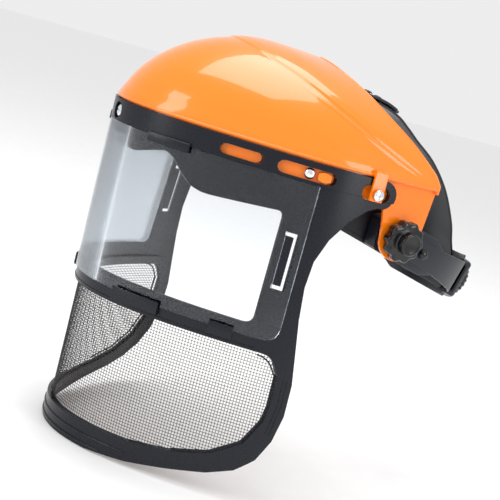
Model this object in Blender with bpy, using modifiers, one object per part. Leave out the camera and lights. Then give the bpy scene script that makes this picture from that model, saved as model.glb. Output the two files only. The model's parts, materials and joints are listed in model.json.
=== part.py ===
"""Forestry face shield: an orange brow guard and a half clear, half wire-mesh visor on a ratchet headgear.

Frame: metres, +Z up, the wearer's left at +X, the front at -Y. The design is worked out about the guard's
brow line (z = 0) and the plane of the visor's cheeks (y = 0), then moved as one so that the origin lies in
the middle of the headband's opening, where the wearer's head holds the headgear.
"""

import math

import bmesh
import bpy
from mathutils import Matrix, Vector

# ---------------------------------------------------------------- driving dimensions (metres)
GAP = 0.0003  # running gap between touching pieces

# The visor wall: a parabola in plan, blending into nearly straight sides, widening a little towards the chin.
WALL_DEPTH = 0.1195  # from the front down to the plane of the cheeks' rear edges
WALL_HALF = 0.105  # half-width the parabola reaches at y = 0
BLEND_P = 0.0982  # where the parabola hands over to the sides
BLEND_Y = -0.015
SIDE_Y = 0.030  # the sides are widest from here
SIDE_HALF = 0.106
TAIL_IN = 0.83  # how fast the tails draw in behind SIDE_Y, 1/m
WIDEN = 0.59  # growth of the half-width per metre below Z_REF
RECEDE = 0.387  # loss of depth per metre below Z_REF
Z_REF = -0.025

SHEET = 0.0025  # moulded wall of the visor frame
BAND = 0.0040  # the thicker top band
COLUMNS = 38  # every sheet of the visor has its facets in the same places
SHEET_END = 0.0600  # the sheets are swept back to here, then trimmed
BAND_LOW = -0.0145
LIP_LOW = -0.0223
FILM_IN = SHEET + GAP
FILM = 0.0010
FILM_TOP = -0.0152
FILM_LOW = -0.1278
FILM_REAR = -0.0093
WINDOW_LOW = -0.1192
WINDOW_REAR = -0.0260
MESH_TOP = -0.1369
VISOR_LOW = -0.2460

# The brow guard.
DOME_TOP = 0.0676
DOME_CENTRE_Y = -0.020
DOME_POWER = 0.60
GUARD = 0.0022  # wall
RIM_OUT = 0.0025  # the dome's rim stands this far outside the visor wall's inner face
RIM_Z = 0.0009
SKIRT_LOW = -0.0180
EAR_R = 0.0205

# Tilt pivot, at both temples.
PIVOT_Y = 0.0650
PIVOT_Z = -0.0382
EAR_X = 0.1070  # outer face of the ear at the pivot
KNOB_R = 0.0153
KNOB_DEEP = 0.0085
CAP_R = 0.0080
CAP_DEEP = 0.0070
BOLT_R = 0.0030

# Headgear: an ellipse in a plane that falls towards the nape.
TILT = math.radians(15.0)
HEAD_Y = 0.0840
HEAD_HALF_LONG = 0.1060
HEAD_HALF_WIDE = 0.0840
STRAP = 0.0020
BAND_HALF = 0.0150
PAD = 0.0060
CROWN_HALF = 0.0225

# Rear ratchet.
RATCHET_BACK = 0.0120  # depth of the housing behind the cradle
RATCHET_KNOB_R = 0.0175
RATCHET_KNOB_DEEP = 0.0110
TEETH = 10
PITCH_R = 0.0060
TOOTH = 0.0010  # half the tooth's height
RACK_GAP = 0.0002

# The design's origin moves to the middle of the headband's opening.
ORIGIN = Vector((0.0, HEAD_Y, PIVOT_Z - math.tan(TILT) * (HEAD_Y - PIVOT_Y)))
SHIFT = Matrix.Translation(-ORIGIN)

COLOURS = {  # colour, roughness, metallic
    "guard_orange": ((1.0, 0.30, 0.01), 0.22, 0.0),
    "frame_black": ((0.012, 0.012, 0.016), 0.30, 0.0),
    "clear_film": ((0.92, 0.95, 1.0), 0.05, 0.0),
    "mesh_steel": ((0.05, 0.05, 0.055), 0.45, 0.8),
    "strap_black": ((0.025, 0.025, 0.034), 0.45, 0.0),
    "knob_black": ((0.010, 0.010, 0.013), 0.28, 0.0),
    "pad_foam": ((0.035, 0.035, 0.040), 0.90, 0.0),
    "screw_chrome": ((0.80, 0.80, 0.80), 0.15, 1.0),
    "bolt_steel": ((0.55, 0.55, 0.56), 0.35, 1.0),
    "washer_nylon": ((0.75, 0.74, 0.70), 0.50, 0.0),
}

for old in list(bpy.data.objects):
    bpy.data.objects.remove(old)

PARTS = bpy.data.collections.new("forestry_helmet")
CUTTERS = bpy.data.collections.new("cutters")
bpy.context.scene.collection.children.link(PARTS)
bpy.context.scene.collection.children.link(CUTTERS)


# ---------------------------------------------------------------- materials and object helpers
def material(name):
    """A Principled material by its key in COLOURS, made once."""
    if name in bpy.data.materials:
        return bpy.data.materials[name]
    colour, roughness, metallic = COLOURS[name]
    mat = bpy.data.materials.new(name)
    mat.use_nodes = True
    shader = mat.node_tree.nodes["Principled BSDF"]
    shader.inputs["Base Color"].default_value = (*colour, 1.0)
    shader.inputs["Roughness"].default_value = roughness
    shader.inputs["Metallic"].default_value = metallic
    if name == "clear_film":
        shader.inputs["Transmission Weight"].default_value = 1.0
    return mat


def from_bmesh(name, bm, look=None, smooth=True):
    """An object from a bmesh: a part if it has a look, else a cutter. Triangles keep the Booleans exact."""
    bmesh.ops.triangulate(bm, faces=bm.faces)
    bmesh.ops.recalc_face_normals(bm, faces=bm.faces)
    mesh = bpy.data.meshes.new(name)
    bm.to_mesh(mesh)
    bm.free()
    obj = bpy.data.objects.new(name, mesh)
    if look:
        PARTS.objects.link(obj)
        mesh.materials.append(material(look))
        if smooth:
            mesh.shade_smooth()
            mesh.set_sharp_from_angle(angle=math.radians(35))
    else:
        CUTTERS.objects.link(obj)
        obj.hide_render = True
        obj.display_type = "WIRE"
    return obj


def boolean(obj, operation, other, solver="EXACT"):
    mod = obj.modifiers.new(f"{operation.lower()} {other.name}", "BOOLEAN")
    mod.operation = operation
    mod.solver = solver
    mod.object = other


def joined(name, cutters):
    """Several cutters that don't touch, as one."""
    bm = bmesh.new()
    for cutter in cutters:
        bm.from_mesh(cutter.data)
        bpy.data.objects.remove(cutter)
    return from_bmesh(name, bm)


def settle(obj):
    """Applies an object's modifiers, so that later Booleans read a plain mesh."""
    bpy.context.view_layer.update()
    graph = bpy.context.evaluated_depsgraph_get()
    mesh = bpy.data.meshes.new_from_object(obj.evaluated_get(graph))
    obj.modifiers.clear()
    old = obj.data
    obj.data = mesh
    bpy.data.meshes.remove(old)
    mesh.shade_smooth()
    mesh.set_sharp_from_angle(angle=math.radians(35))


def place(obj, location, rotation=None):
    """Puts an object at a point of the design's frame, turned by a matrix."""
    turn = rotation.to_4x4() if rotation else Matrix.Identity(4)
    obj.matrix_world = Matrix.Translation(Vector(location)) @ turn
    return obj


def rounded(points, radius, steps=4):
    """A closed outline with each corner replaced by an arc-like fillet of that radius."""
    radii = radius if isinstance(radius, (list, tuple)) else [radius] * len(points)
    out = []
    for i, here in enumerate(points):
        before = Vector(points[i - 1])
        after = Vector(points[(i + 1) % len(points)])
        corner = Vector(here)
        if radii[i] <= 0:
            out.append(corner)
            continue
        to_before = (before - corner).normalized()
        to_after = (after - corner).normalized()
        start = corner + to_before * radii[i]
        end = corner + to_after * radii[i]
        for k in range(steps + 1):
            t = k / steps
            out.append(start * (1 - t) ** 2 + corner * 2 * t * (1 - t) + end * t * t)
    return out


def prism(name, outline, low, high, axis="X", look=None):
    """A closed outline extruded along an axis: along X the outline is (y, z), along Y (x, z), along Z (x, y)."""
    bm = bmesh.new()
    spots = {
        "X": lambda a, b: (low, a, b),
        "Y": lambda a, b: (a, low, b),
        "Z": lambda a, b: (a, b, low),
    }[axis]
    face = bm.faces.new([bm.verts.new(spots(p[0], p[1])) for p in outline])
    step = {"X": (high - low, 0, 0), "Y": (0, high - low, 0), "Z": (0, 0, high - low)}[axis]
    made = bmesh.ops.extrude_face_region(bm, geom=[face])
    bmesh.ops.translate(bm, vec=step, verts=[v for v in made["geom"] if isinstance(v, bmesh.types.BMVert)])
    return from_bmesh(name, bm, look)


def box(name, low, high, look=None):
    """A box between two corners of the design's frame."""
    bm = bmesh.new()
    bmesh.ops.create_cube(bm, size=1.0)
    size = Vector(high) - Vector(low)
    middle = (Vector(high) + Vector(low)) / 2
    bmesh.ops.scale(bm, vec=size, verts=bm.verts)
    bmesh.ops.translate(bm, vec=middle, verts=bm.verts)
    return from_bmesh(name, bm, look, smooth=False)


def turned(name, profile, look=None, sides=24, lobes=0, lobe_deep=0.0, bore=True):
    """A shape turned about its own Z from (radius, height) points, outer side top to bottom.

    With a bore the profile closes on itself; without one it starts and ends on the axis. Lobes scallop
    every point outside half the largest radius.
    """
    bm = bmesh.new()
    largest = max(r for r, _ in profile)
    rings = []
    for radius, height in profile:
        if radius <= 0:
            rings.append([bm.verts.new((0, 0, height))])
            continue
        ring = []
        for k in range(sides):
            turn = 2 * math.pi * k / sides
            reach = radius
            if lobes and radius > 0.7 * largest:
                reach -= lobe_deep * (0.5 + 0.5 * math.cos(lobes * turn))
            ring.append(bm.verts.new((reach * math.cos(turn), reach * math.sin(turn), height)))
        rings.append(ring)
    pairs = list(zip(rings, rings[1:]))
    if bore:
        pairs.append((rings[-1], rings[0]))
    for upper, lower in pairs:
        for k in range(sides):
            corner = [upper[k % len(upper)], upper[(k + 1) % sides % len(upper)]]
            corner += [lower[(k + 1) % sides % len(lower)], lower[k % len(lower)]]
            unique = list(dict.fromkeys(corner))
            if len(unique) > 2:
                bm.faces.new(unique)
    return from_bmesh(name, bm, look)


# ---------------------------------------------------------------- the visor wall
def side_half_width(y):
    """Half-width of the wall behind the parabola, by y."""
    if y >= SIDE_Y:
        return SIDE_HALF - TAIL_IN * (y - SIDE_Y) ** 2
    t = (y - BLEND_Y) / (SIDE_Y - BLEND_Y)
    slope = WALL_DEPTH * 2 * BLEND_P / WALL_HALF**2
    run = (SIDE_Y - BLEND_Y) / slope
    start = (2 * t**3 - 3 * t**2 + 1) * BLEND_P + (t**3 - 2 * t**2 + t) * run
    return start + (3 * t**2 - 2 * t**3) * SIDE_HALF


def plan_point(p):
    """A point of the wall's plan by its parameter: x along the parabola, then metres of y along the side."""
    side = math.copysign(1.0, p)
    p = abs(p)
    if p <= BLEND_P:
        return side * p, WALL_DEPTH * (p / WALL_HALF) ** 2 - WALL_DEPTH
    y = -WALL_DEPTH * (1 - (BLEND_P / WALL_HALF) ** 2) + p - BLEND_P
    return side * side_half_width(y), y


def wall_point(p, z, out=0.0):
    """A point of the wall at parameter p and height z, moved outwards."""
    ahead = Vector(plan_point(p + 1e-4))
    behind = Vector(plan_point(p - 1e-4))
    along = (ahead - behind).normalized()
    x, y = plan_point(p)
    drop = z - Z_REF
    x *= 1 - WIDEN * drop
    if y < 0:
        y *= 1 + RECEDE * drop
    return Vector((x + along.y * out, y - along.x * out, z))


def wall_param(y):
    """The plan parameter of the left side at a given y."""
    handover = -WALL_DEPTH * (1 - (BLEND_P / WALL_HALF) ** 2)
    if y >= handover:
        return BLEND_P + y - handover
    return WALL_HALF * math.sqrt((y + WALL_DEPTH) / WALL_DEPTH)


def wall_plate(name, inner, outer, high, low, rear_y, columns=44, look=None, rows=1):
    """A closed plate bent along the wall, between two offsets and two heights, out to rear_y on both sides."""
    reach = wall_param(rear_y)
    bm = bmesh.new()
    loops = []
    for i in range(columns + 1):
        p = reach * (2 * i / columns - 1)
        ring = [wall_point(p, high + (low - high) * r / rows, outer) for r in range(rows + 1)]
        ring += [wall_point(p, low + (high - low) * r / rows, inner) for r in range(rows + 1)]
        loops.append([bm.verts.new(v) for v in ring])
    for one, two in zip(loops, loops[1:]):
        for k in range(len(one)):
            after = (k + 1) % len(one)
            bm.faces.new((one[k], one[after], two[after], two[k]))
    bm.faces.new(loops[0])
    bm.faces.new(loops[-1])
    return from_bmesh(name, bm, look)


# ---------------------------------------------------------------- side outlines (y, z)
CHEEK = (  # rear edge of a cheek, from the arm down to the chin
    (0.018, -0.0335),
    (0.007, -0.049),
    (0.0005, -0.066),
    (-0.0008, -0.085),
    (0.0015, -0.108),
    (0.0055, -0.131),
    (0.0095, -0.154),
    (0.0100, -0.177),
    (0.0060, -0.196),
    (-0.0020, -0.2115),
    (-0.0140, -0.2225),
    (-0.0300, -0.2300),
    (-0.0520, -0.2360),
    (-0.0760, -0.2420),
    (-0.0980, -0.2455),
)


def arc(centre, radius, start, end, steps):
    """Points of an arc in the (y, z) plane, angles in degrees from +y."""
    out = []
    for k in range(steps + 1):
        turn = math.radians(start + (end - start) * k / steps)
        out.append((centre[0] + radius * math.cos(turn), centre[1] + radius * math.sin(turn)))
    return out


ARM_END = (0.0396, -0.0103)
ARM_R = 0.0100


def frame_outline():
    """The visor frame seen from the side."""
    top = [(-0.16, 0.0), (ARM_END[0], 0.0)]
    end = arc(ARM_END, ARM_R, 75, -100, 9)
    under = [(0.030, -0.0235)]
    return top + end + under + list(CHEEK) + [(-0.112, VISOR_LOW), (-0.16, VISOR_LOW)]


def window_outline():
    """The clear opening seen from the side: a deeper side plate behind, a narrow lip across the front."""
    points = [
        (-0.16, LIP_LOW),
        (-0.0980, LIP_LOW),
        (-0.0820, -0.0430),
        (WINDOW_REAR, -0.0380),
        (WINDOW_REAR, WINDOW_LOW),
        (-0.16, WINDOW_LOW + 0.0015),
    ]
    return rounded(points, [0, 0.006, 0.010, 0.005, 0.006, 0])


def mesh_outline(grow=0.0):
    """The mesh opening seen from the side."""
    points = [
        (-0.16, MESH_TOP + grow),
        (-0.0095 + grow, MESH_TOP + grow),
        (-0.0025 + grow, -0.150),
        (-0.0020 + grow, -0.172),
        (-0.0035 + grow, -0.1830),
        (-0.0125 + grow * 0.8, -0.2020 - grow * 0.5),
        (-0.0300, -0.2155 - grow),
        (-0.0520, -0.2228 - grow),
        (-0.0760, -0.2270 - grow),
        (-0.16, -0.2300 - grow),
    ]
    return rounded(points, [0, 0.007, 0, 0, 0, 0, 0, 0, 0, 0], steps=4)


def obround(y_from, y_to, z_mid, half):
    """A slot with round ends, in the (y, z) plane."""
    right = arc((y_to - half, z_mid), half, -90, 90, 5)
    left = arc((y_from + half, z_mid), half, 90, 270, 5)
    return right + left


SLOTS = (  # y from, y to, height, half-width: the orange skirt shows through these
    (-0.0740, -0.0470, -0.0085, 0.0037),
    (-0.0390, 0.0000, -0.0085, 0.0045),
    (0.0205, 0.0440, -0.0105, 0.0058),
)
CLIP_IN = FILM_IN + FILM + 0.0019  # the hooks curve more smoothly than the film's facets
CLIP_OUT = 0.0074
CLIPS = (  # along the wall from, to, root's top and bottom, hook's end
    (0.034, 0.055, BAND_LOW + 0.0018, FILM_TOP + GAP, -0.0195),
    (0.034, 0.058, -0.1335, FILM_LOW - GAP, -0.1240),
    (0.0785, 0.0870, -0.1335, FILM_LOW - GAP, -0.1240),
)
LATCH = (-0.0222, -0.0135, -0.0507, -0.0915)  # y from, y to, z from, z to
LATCH_GAP = 0.0030


def wall_section(name, p_from, p_to, section, look=None, columns=4):
    """A closed section of (out, z) points bent along the wall between two plan parameters."""
    bm = bmesh.new()
    loops = []
    for i in range(columns + 1):
        p = p_from + (p_to - p_from) * i / columns
        loops.append([bm.verts.new(wall_point(p, z, out)) for out, z in section])
    count = len(section)
    for one, two in zip(loops, loops[1:]):
        for k in range(count):
            bm.faces.new((one[k], one[(k + 1) % count], two[(k + 1) % count], two[k]))
    bm.faces.new(loops[0])
    bm.faces.new(loops[-1])
    return from_bmesh(name, bm, look)


def wall_block(name, p_from, p_to, inner, outer, high, low, look=None):
    """A small block bent along the wall between two plan parameters."""
    section = ((outer, high), (outer, low), (inner, low), (inner, high))
    return wall_section(name, p_from, p_to, section, look)


def drill(name, obj, axis, centre, radius, low, high, solver="EXACT"):
    """Cuts a round hole along X (centre is y, z) or along Y (centre is x, z)."""
    boolean(obj, "DIFFERENCE", prism(name, arc(centre, radius, 0, 345, 23), low, high, axis), solver)


def along(axis):
    """A rotation that turns a shape's own Z onto an axis."""
    return Vector((0, 0, 1)).rotation_difference(Vector(axis)).to_matrix()


def drill_through(name, obj, spot, axis, radius):
    """Cuts a round hole along any axis, 12 mm to each side of a point."""
    cutter = turned(name, [(0, 0.012), (radius, 0.012), (radius, -0.012), (0, -0.012)], sides=20, bore=False)
    cutter.matrix_world = Matrix.Translation(spot) @ along(axis).to_4x4()
    boolean(obj, "DIFFERENCE", cutter)


def stud_seat(side):
    """Where the band's stud sits on the wall's inner face, and the way it points."""
    p = side * wall_param(STUD[0])
    spot = wall_point(p, STUD[1], 0.0)
    return spot, (wall_point(p, STUD[1], 0.001) - spot).normalized()


FRONT_SCREW = (0.0, -0.0080)  # x, z
STUD = (-0.0165, -0.0085)  # y, z
LUG = (0.0317, -0.0105)  # y, z
LUG_HALF = 0.0050
LUG_OUT = 0.0046  # inner face of the lug strap, outside the visor arm
LUG_THICK = 0.0020
SHAFT_R = 0.0019
SHAFT_HOLE_R = 0.0022
RECESS_R = 0.0060
RECESS_FLOOR = 0.0018
REACH = 0.2  # cutters run this far past the object


def visor_frame():
    """Top band, side plates, cheeks, crossbar and chin rim, moulded in one piece."""
    low = VISOR_LOW - 0.004
    section = ((0, 0.0008), (BAND, 0.0008), (BAND, BAND_LOW), (SHEET, BAND_LOW), (SHEET, -0.12), (SHEET, low), (0, low))
    reach = wall_param(SHEET_END)
    frame = wall_section("visor_frame", -reach, reach, section, "frame_black", COLUMNS)
    clips = []
    for side in (1, -1):
        for p0, p1, far, near, end in CLIPS:
            section = ((0.0020, far), (CLIP_OUT, far), (CLIP_OUT, end), (CLIP_IN, end), (CLIP_IN, near), (0.0020, near))
            clips.append(wall_section("clip", side * p0, side * p1, section))
    boolean(frame, "UNION", joined("clips", clips), "MANIFOLD")
    boolean(frame, "INTERSECT", prism("frame_keep", frame_outline(), -REACH, REACH), "MANIFOLD")
    holes = [window_outline(), mesh_outline(), latch_gap()]
    holes += [obround(*slot) for slot in SLOTS]
    cutters = [prism(f"frame_cut_{n}", outline, -REACH, REACH) for n, outline in enumerate(holes)]
    boolean(frame, "DIFFERENCE", joined("frame_cuts", cutters), "MANIFOLD")
    drill("front_bore", frame, "Y", FRONT_SCREW, SHAFT_HOLE_R, -0.14, -0.10, "MANIFOLD")
    drill("front_sink", frame, "Y", FRONT_SCREW, RECESS_R, -0.14, -WALL_DEPTH - RECESS_FLOOR, "MANIFOLD")
    return place(frame, (0, 0, 0))


def latch_gap():
    """The U-shaped gap round the rear latch's tongue, seen from the side."""
    y0, y1, z0, z1 = LATCH
    inner = y1 - LATCH_GAP
    top = [(y0, z0), (y1, z0), (y1, z1), (y0, z1)]
    return top + [(y0, z1 + LATCH_GAP), (inner, z1 + LATCH_GAP), (inner, z0 - LATCH_GAP), (y0, z0 - LATCH_GAP)]


def clear_window():
    """The clear sheet, wrapped outside the frame from cheek to cheek, slotted for the two rear latches."""
    film = wall_plate("clear_window", FILM_IN, FILM_IN + FILM, FILM_TOP, FILM_LOW, SHEET_END, COLUMNS, "clear_film")
    rear = FILM_REAR - 0.0002
    low = FILM_LOW + 0.0002
    outline = rounded([(-0.16, 0.02), (rear, 0.02), (rear, low), (-0.16, low)], [0, 0, 0.012, 0])
    boolean(film, "INTERSECT", prism("film_keep", outline, -REACH, REACH))
    y0, y1, z0, z1 = LATCH
    slot = rounded([(y0, z0), (y1, z0), (y1, z1), (y0, z1)], 0.0015, 2)
    boolean(film, "DIFFERENCE", prism("film_slot", slot, -REACH, REACH))
    return place(film, (0, 0, 0))


# ---------------------------------------------------------------- the brow guard
def guard_ring(out, z, rear_out):
    """A ring round the guard at one height: along the wall's plan, then a closing curve behind the tails."""
    reach = wall_param(0.0950)
    count = 36
    ring = [wall_point(reach * (2 * k / count - 1), z, out) for k in range(count + 1)]
    tail = ring[-1]
    steps = 8
    for k in range(1, steps):
        turn = math.pi * k / steps
        x = tail.x * math.cos(turn)
        y = tail.y + (0.100 + rear_out) * math.sin(turn)
        ring.append(Vector((x, y, z)))
    return ring


def guard_keep():
    """The guard seen from the side: skirt, ear and the sloping rear edge."""
    ear = [(0.0445, SKIRT_LOW), (0.0480, -0.0330)]
    ear += arc((PIVOT_Y, PIVOT_Z), 0.0165, 200, 340, 10)
    ear += [(0.0840, -0.0280), (0.0865, -0.0030)]
    rear = [(0.0870, -0.0010), (0.0872, 0.0050), (0.0820, 0.0120), (0.0600, 0.0300), (0.0453, 0.0405)]
    rear += [(0.0300, 0.0535), (0.0136, 0.0670), (0.0080, 0.0800)]
    return [(-0.15, SKIRT_LOW)] + ear + rear + [(-0.15, 0.0800)]


def brow_guard():
    """The orange shell over the brow, with its skirt inside the visor band, its ears and its lug straps."""
    centre = Vector((0.0, DOME_CENTRE_Y, 0.0))
    rim = guard_ring(RIM_OUT, 0.0, 0.0)
    bm = bmesh.new()
    rows = []
    for share in (1.0, 0.98, 0.94, 0.88, 0.79, 0.67, 0.50, 0.27):
        height = RIM_Z + DOME_TOP * (1 - share**2) ** DOME_POWER
        row = []
        for spot in rim:
            flat = centre + (spot - centre) * share
            row.append(bm.verts.new((flat.x, flat.y, height)))
        rows.append(row)
    peak = bm.verts.new((centre.x, centre.y, RIM_Z + DOME_TOP))
    for z, out in ((RIM_Z, -0.0004), (-0.0560, -0.0004)):
        rows.insert(0, [bm.verts.new(v) for v in guard_ring(out, z, -0.003)])
    for low, high in zip(rows, rows[1:]):
        for k in range(len(low)):
            after = (k + 1) % len(low)
            bm.faces.new((low[k], low[after], high[after], high[k]))
    top = rows[-1]
    for k in range(len(top)):
        bm.faces.new((top[k], top[(k + 1) % len(top)], peak))
    guard = from_bmesh("brow_guard", bm, "guard_orange")
    wall = guard.modifiers.new("wall", "SOLIDIFY")
    wall.thickness = GUARD
    wall.offset = -1.0
    wall.use_even_offset = True
    guard.modifiers.new("triangles", "TRIANGULATE")
    boolean(guard, "INTERSECT", prism("guard_keep", guard_keep(), -REACH, REACH))
    for side in (1, -1):
        p0 = side * wall_param(LUG[0] - LUG_HALF)
        p1 = side * wall_param(LUG[0] + LUG_HALF)
        far = LUG_OUT + LUG_THICK
        low = LUG[1] - LUG_HALF
        section = ((0.0012, 0.0058), (far, 0.0058), (far, low), (LUG_OUT, low), (LUG_OUT, 0.0014), (0.0012, 0.0014))
        strap = wall_section(f"lug_{side}", p0, p1, section)
        tongue = wall_block(
            f"tongue_{side}", side * wall_param(-0.0105), side * wall_param(-0.0045), -0.0010, 0.0034, -0.0052, -0.0118
        )
        boolean(guard, "UNION", strap)
        boolean(guard, "UNION", tongue)
        spots = sorted((side * 0.085, side * 0.13))
        drill(f"lug_bore_{side}", guard, "X", LUG, SHAFT_HOLE_R, *spots)
        drill_through(f"stud_bore_{side}", guard, *stud_seat(side), SHAFT_HOLE_R)
        drill(f"pivot_bore_{side}", guard, "X", (PIVOT_Y, PIVOT_Z), BOLT_R + GAP, *spots)
    drill("guard_front_bore", guard, "Y", FRONT_SCREW, SHAFT_HOLE_R, -0.14, -0.10)
    return place(guard, (0, 0, 0))


# ---------------------------------------------------------------- mesh and its inner clamp
MESH_IN = -0.0013
MESH_THICK = 0.0005


def wire_mesh():
    """The woven wire panel's envelope, against the frame's inner face over the whole lower opening."""
    panel = wall_plate("wire_mesh", MESH_IN, MESH_IN + MESH_THICK, MESH_TOP + 0.0065, -0.2370, SHEET_END, COLUMNS, "mesh_steel")
    boolean(panel, "INTERSECT", prism("mesh_keep", mesh_outline(0.0060), -REACH, REACH))
    return place(panel, (0, 0, 0))


def mesh_clamp():
    """The inner frame that clamps the wire panel all round its edge."""
    inner = MESH_IN - GAP - 0.0015
    clamp = wall_plate("mesh_clamp", inner, MESH_IN - GAP, MESH_TOP + 0.0070, -0.2380, SHEET_END, COLUMNS, "frame_black")
    boolean(clamp, "INTERSECT", prism("clamp_keep", mesh_outline(0.0066), -REACH, REACH))
    boolean(clamp, "DIFFERENCE", prism("clamp_cut", mesh_outline(0.0006), -REACH, REACH))
    return place(clamp, (0, 0, 0))


# ---------------------------------------------------------------- fasteners
def slotted_screw(name, length, head_r, head_high, dome):
    """A screw whose own Z points out of its head; z = 0 is the seat under the head."""
    shaft = [(0, -length), (SHAFT_R, -length), (SHAFT_R, 0), (head_r, 0), (head_r, head_high - dome)]
    cap = [(head_r * 0.72, head_high - dome * 0.3), (head_r * 0.35, head_high), (0, head_high)]
    screw = turned(name, (shaft + cap)[::-1], "screw_chrome", sides=14, bore=False)
    slot = box(f"{name}_slot", (-0.02, -0.0005, head_high - 0.0009), (0.02, 0.0005, head_high + 0.01))
    boolean(screw, "DIFFERENCE", slot)
    settle(screw)
    return screw


def hex_nut(name, across, high, bore, look="bolt_steel"):
    """A nut with its own Z along its bore, from z = 0 up."""
    return turned(name, [(across, high), (across, 0), (bore, 0), (bore, high)], look, sides=6)


def visor_fasteners():
    """Front screw and nut; on each side the lug screw with its nut, and the band's stud with its retainer."""
    front = Vector((FRONT_SCREW[0], -WALL_DEPTH, FRONT_SCREW[1]))
    screw = slotted_screw("front_screw", 0.0085, 0.0042, 0.0019, 0.0005)
    place(screw, front + Vector((0, -RECESS_FLOOR - GAP, 0)), along((0, -1, 0)))
    nut = hex_nut("front_nut", 0.0036, 0.0024, SHAFT_R + 0.0006)
    place(nut, front + Vector((0, 0.0054, 0)), along((0, -1, 0)))
    for side, label in ((1, "left"), (-1, "right")):
        out = Vector((side, 0, 0))
        lug_x = side_half_width(LUG[0])
        seat, lean = stud_seat(side)
        screw = slotted_screw(f"{label}_lug_screw", 0.0130, 0.0040, 0.0022, 0.0008)
        place(screw, (side * (lug_x + LUG_OUT + LUG_THICK + GAP), *LUG), along(out))
        nut = hex_nut(f"{label}_lug_nut", 0.0036, 0.0024, SHAFT_R + 0.0006)
        place(nut, (side * (lug_x - 0.0064), *LUG), along(out))
        profile = [(0, 0.0021), (0.0020, 0.0019), (0.0033, 0.0012), (0.0039, 0.0)]
        profile += [(SHAFT_R, 0.0), (SHAFT_R, -0.0060), (0, -0.0060)]
        stud = turned(f"{label}_band_stud", profile, "screw_chrome", sides=14, bore=False)
        place(stud, seat + lean * 0.0010, along(lean))
        keeper = turned(
            f"{label}_stud_retainer",
            [(0.0042, 0.0008), (0.0042, 0), (SHAFT_R + GAP, 0), (SHAFT_R + GAP, 0.0008)],
            "bolt_steel",
            sides=14,
        )
        place(keeper, seat - lean * 0.0040, along(lean))


# ---------------------------------------------------------------- headgear
def head_plane_z(y):
    return PIVOT_Z - math.tan(TILT) * (y - PIVOT_Y)


UP = Vector((0, math.sin(TILT), math.cos(TILT)))
BACK = Vector((0, math.cos(TILT), -math.sin(TILT)))


def head_point(turn, up, out):
    """A point of the headband: turn in degrees from the forehead, height across the band, and offset."""
    phi = math.radians(turn)
    x = (HEAD_HALF_WIDE + out) * math.sin(phi)
    y = HEAD_Y - (HEAD_HALF_LONG + out) * math.cos(phi)
    return Vector((x, y, head_plane_z(y))) + UP * up


def swept(name, stations, look=None):
    """A closed solid through a list of equal closed sections."""
    bm = bmesh.new()
    loops = [[bm.verts.new(v) for v in ring] for ring in stations]
    for one, two in zip(loops, loops[1:]):
        for k in range(len(one)):
            bm.faces.new((one[k], one[(k + 1) % len(one)], two[(k + 1) % len(two)], two[k]))
    bm.faces.new(loops[0])
    bm.faces.new(loops[-1])
    return from_bmesh(name, bm, look)


def head_strip(name, start, end, inner, outer, half, columns, look):
    """A strip bent along the headband's ellipse."""
    stations = []
    for k in range(columns + 1):
        turn = start + (end - start) * k / columns
        spots = ((half, outer), (-half, outer), (-half, inner), (half, inner))
        stations.append([head_point(turn, up, out) for up, out in spots])
    return swept(name, stations, look)


PIVOT_TURN = math.degrees(math.acos((HEAD_Y - PIVOT_Y) / HEAD_HALF_LONG))
BAND_END = 112.0
STRAP_FROM = 90.0
STRAP_TO = 133.0
RIVET_TURN = 101.0


def headband():
    """The band round the forehead and temples."""
    band = head_strip("headband", -BAND_END, BAND_END, 0, STRAP, BAND_HALF, 40, "strap_black")
    for side in (1, -1):
        spots = sorted((side * 0.07, side * 0.1))
        drill(f"band_pivot_{side}", band, "X", (PIVOT_Y, PIVOT_Z), BOLT_R + GAP, *spots)
        rivet = head_point(RIVET_TURN, 0, 0)
        drill(f"band_rivet_{side}", band, "X", (rivet.y, rivet.z), SHAFT_HOLE_R, *spots)
    return place(band, (0, 0, 0))


def side_straps():
    """The strap on each side that runs back from the temple to the ratchet, with the rivet that holds it."""
    for side, label in ((1, "left"), (-1, "right")):
        strap = head_strip(
            f"{label}_side_strap",
            side * STRAP_FROM,
            side * STRAP_TO,
            STRAP + GAP,
            STRAP + GAP + 0.0018,
            0.0095,
            12,
            "strap_black",
        )
        spots = sorted((side * 0.07, side * 0.1))
        rivet = head_point(RIVET_TURN, 0, 0)
        drill(f"strap_rivet_{side}", strap, "X", (rivet.y, rivet.z), SHAFT_HOLE_R, *spots)
        place(strap, (0, 0, 0))
        half = 0.0058
        profile = [(0, half), (0.0026, half - 0.0003), (0.0036, half - 0.0013), (SHAFT_R, half - 0.0013)]
        profile += [(SHAFT_R, -half + 0.0022), (0.0034, -half + 0.0022), (0.0034, -half + 0.0010), (0, -half + 0.0010)]
        pin = turned(f"{label}_strap_rivet", profile, "knob_black", sides=12, bore=False)
        place(pin, (side * (abs(rivet.x) + 0.0020), rivet.y, rivet.z), along((side, 0, 0)))


def pads():
    """The sweatband on the forehead."""
    pad = head_strip("forehead_pad", -58, 58, -PAD, -GAP, BAND_HALF + 0.0010, 16, "pad_foam")
    return place(pad, (0, 0, 0))


CROWN_FRONT = (  # (y, z) of the strap's middle line, from the forehead over the crown
    (-0.0245, -0.0060),
    (-0.0235, 0.0040),
    (-0.0170, 0.0180),
    (-0.0040, 0.0320),
    (0.0140, 0.0430),
    (0.0360, 0.0495),
    (0.0560, 0.0510),
    (0.0760, 0.0490),
    (0.0920, 0.0440),
)
CROWN_REAR = (
    (0.0620, 0.0476),
    (0.0760, 0.0458),
    (0.0915, 0.0410),
    (0.1030, 0.0345),
    (0.1160, 0.0262),
    (0.1360, 0.0140),
    (0.1560, -0.0050),
    (0.1720, -0.0290),
    (0.1790, -0.0455),
)
PEG_Y = (0.0715, 0.0820)
PEG_R = 0.0019


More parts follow.
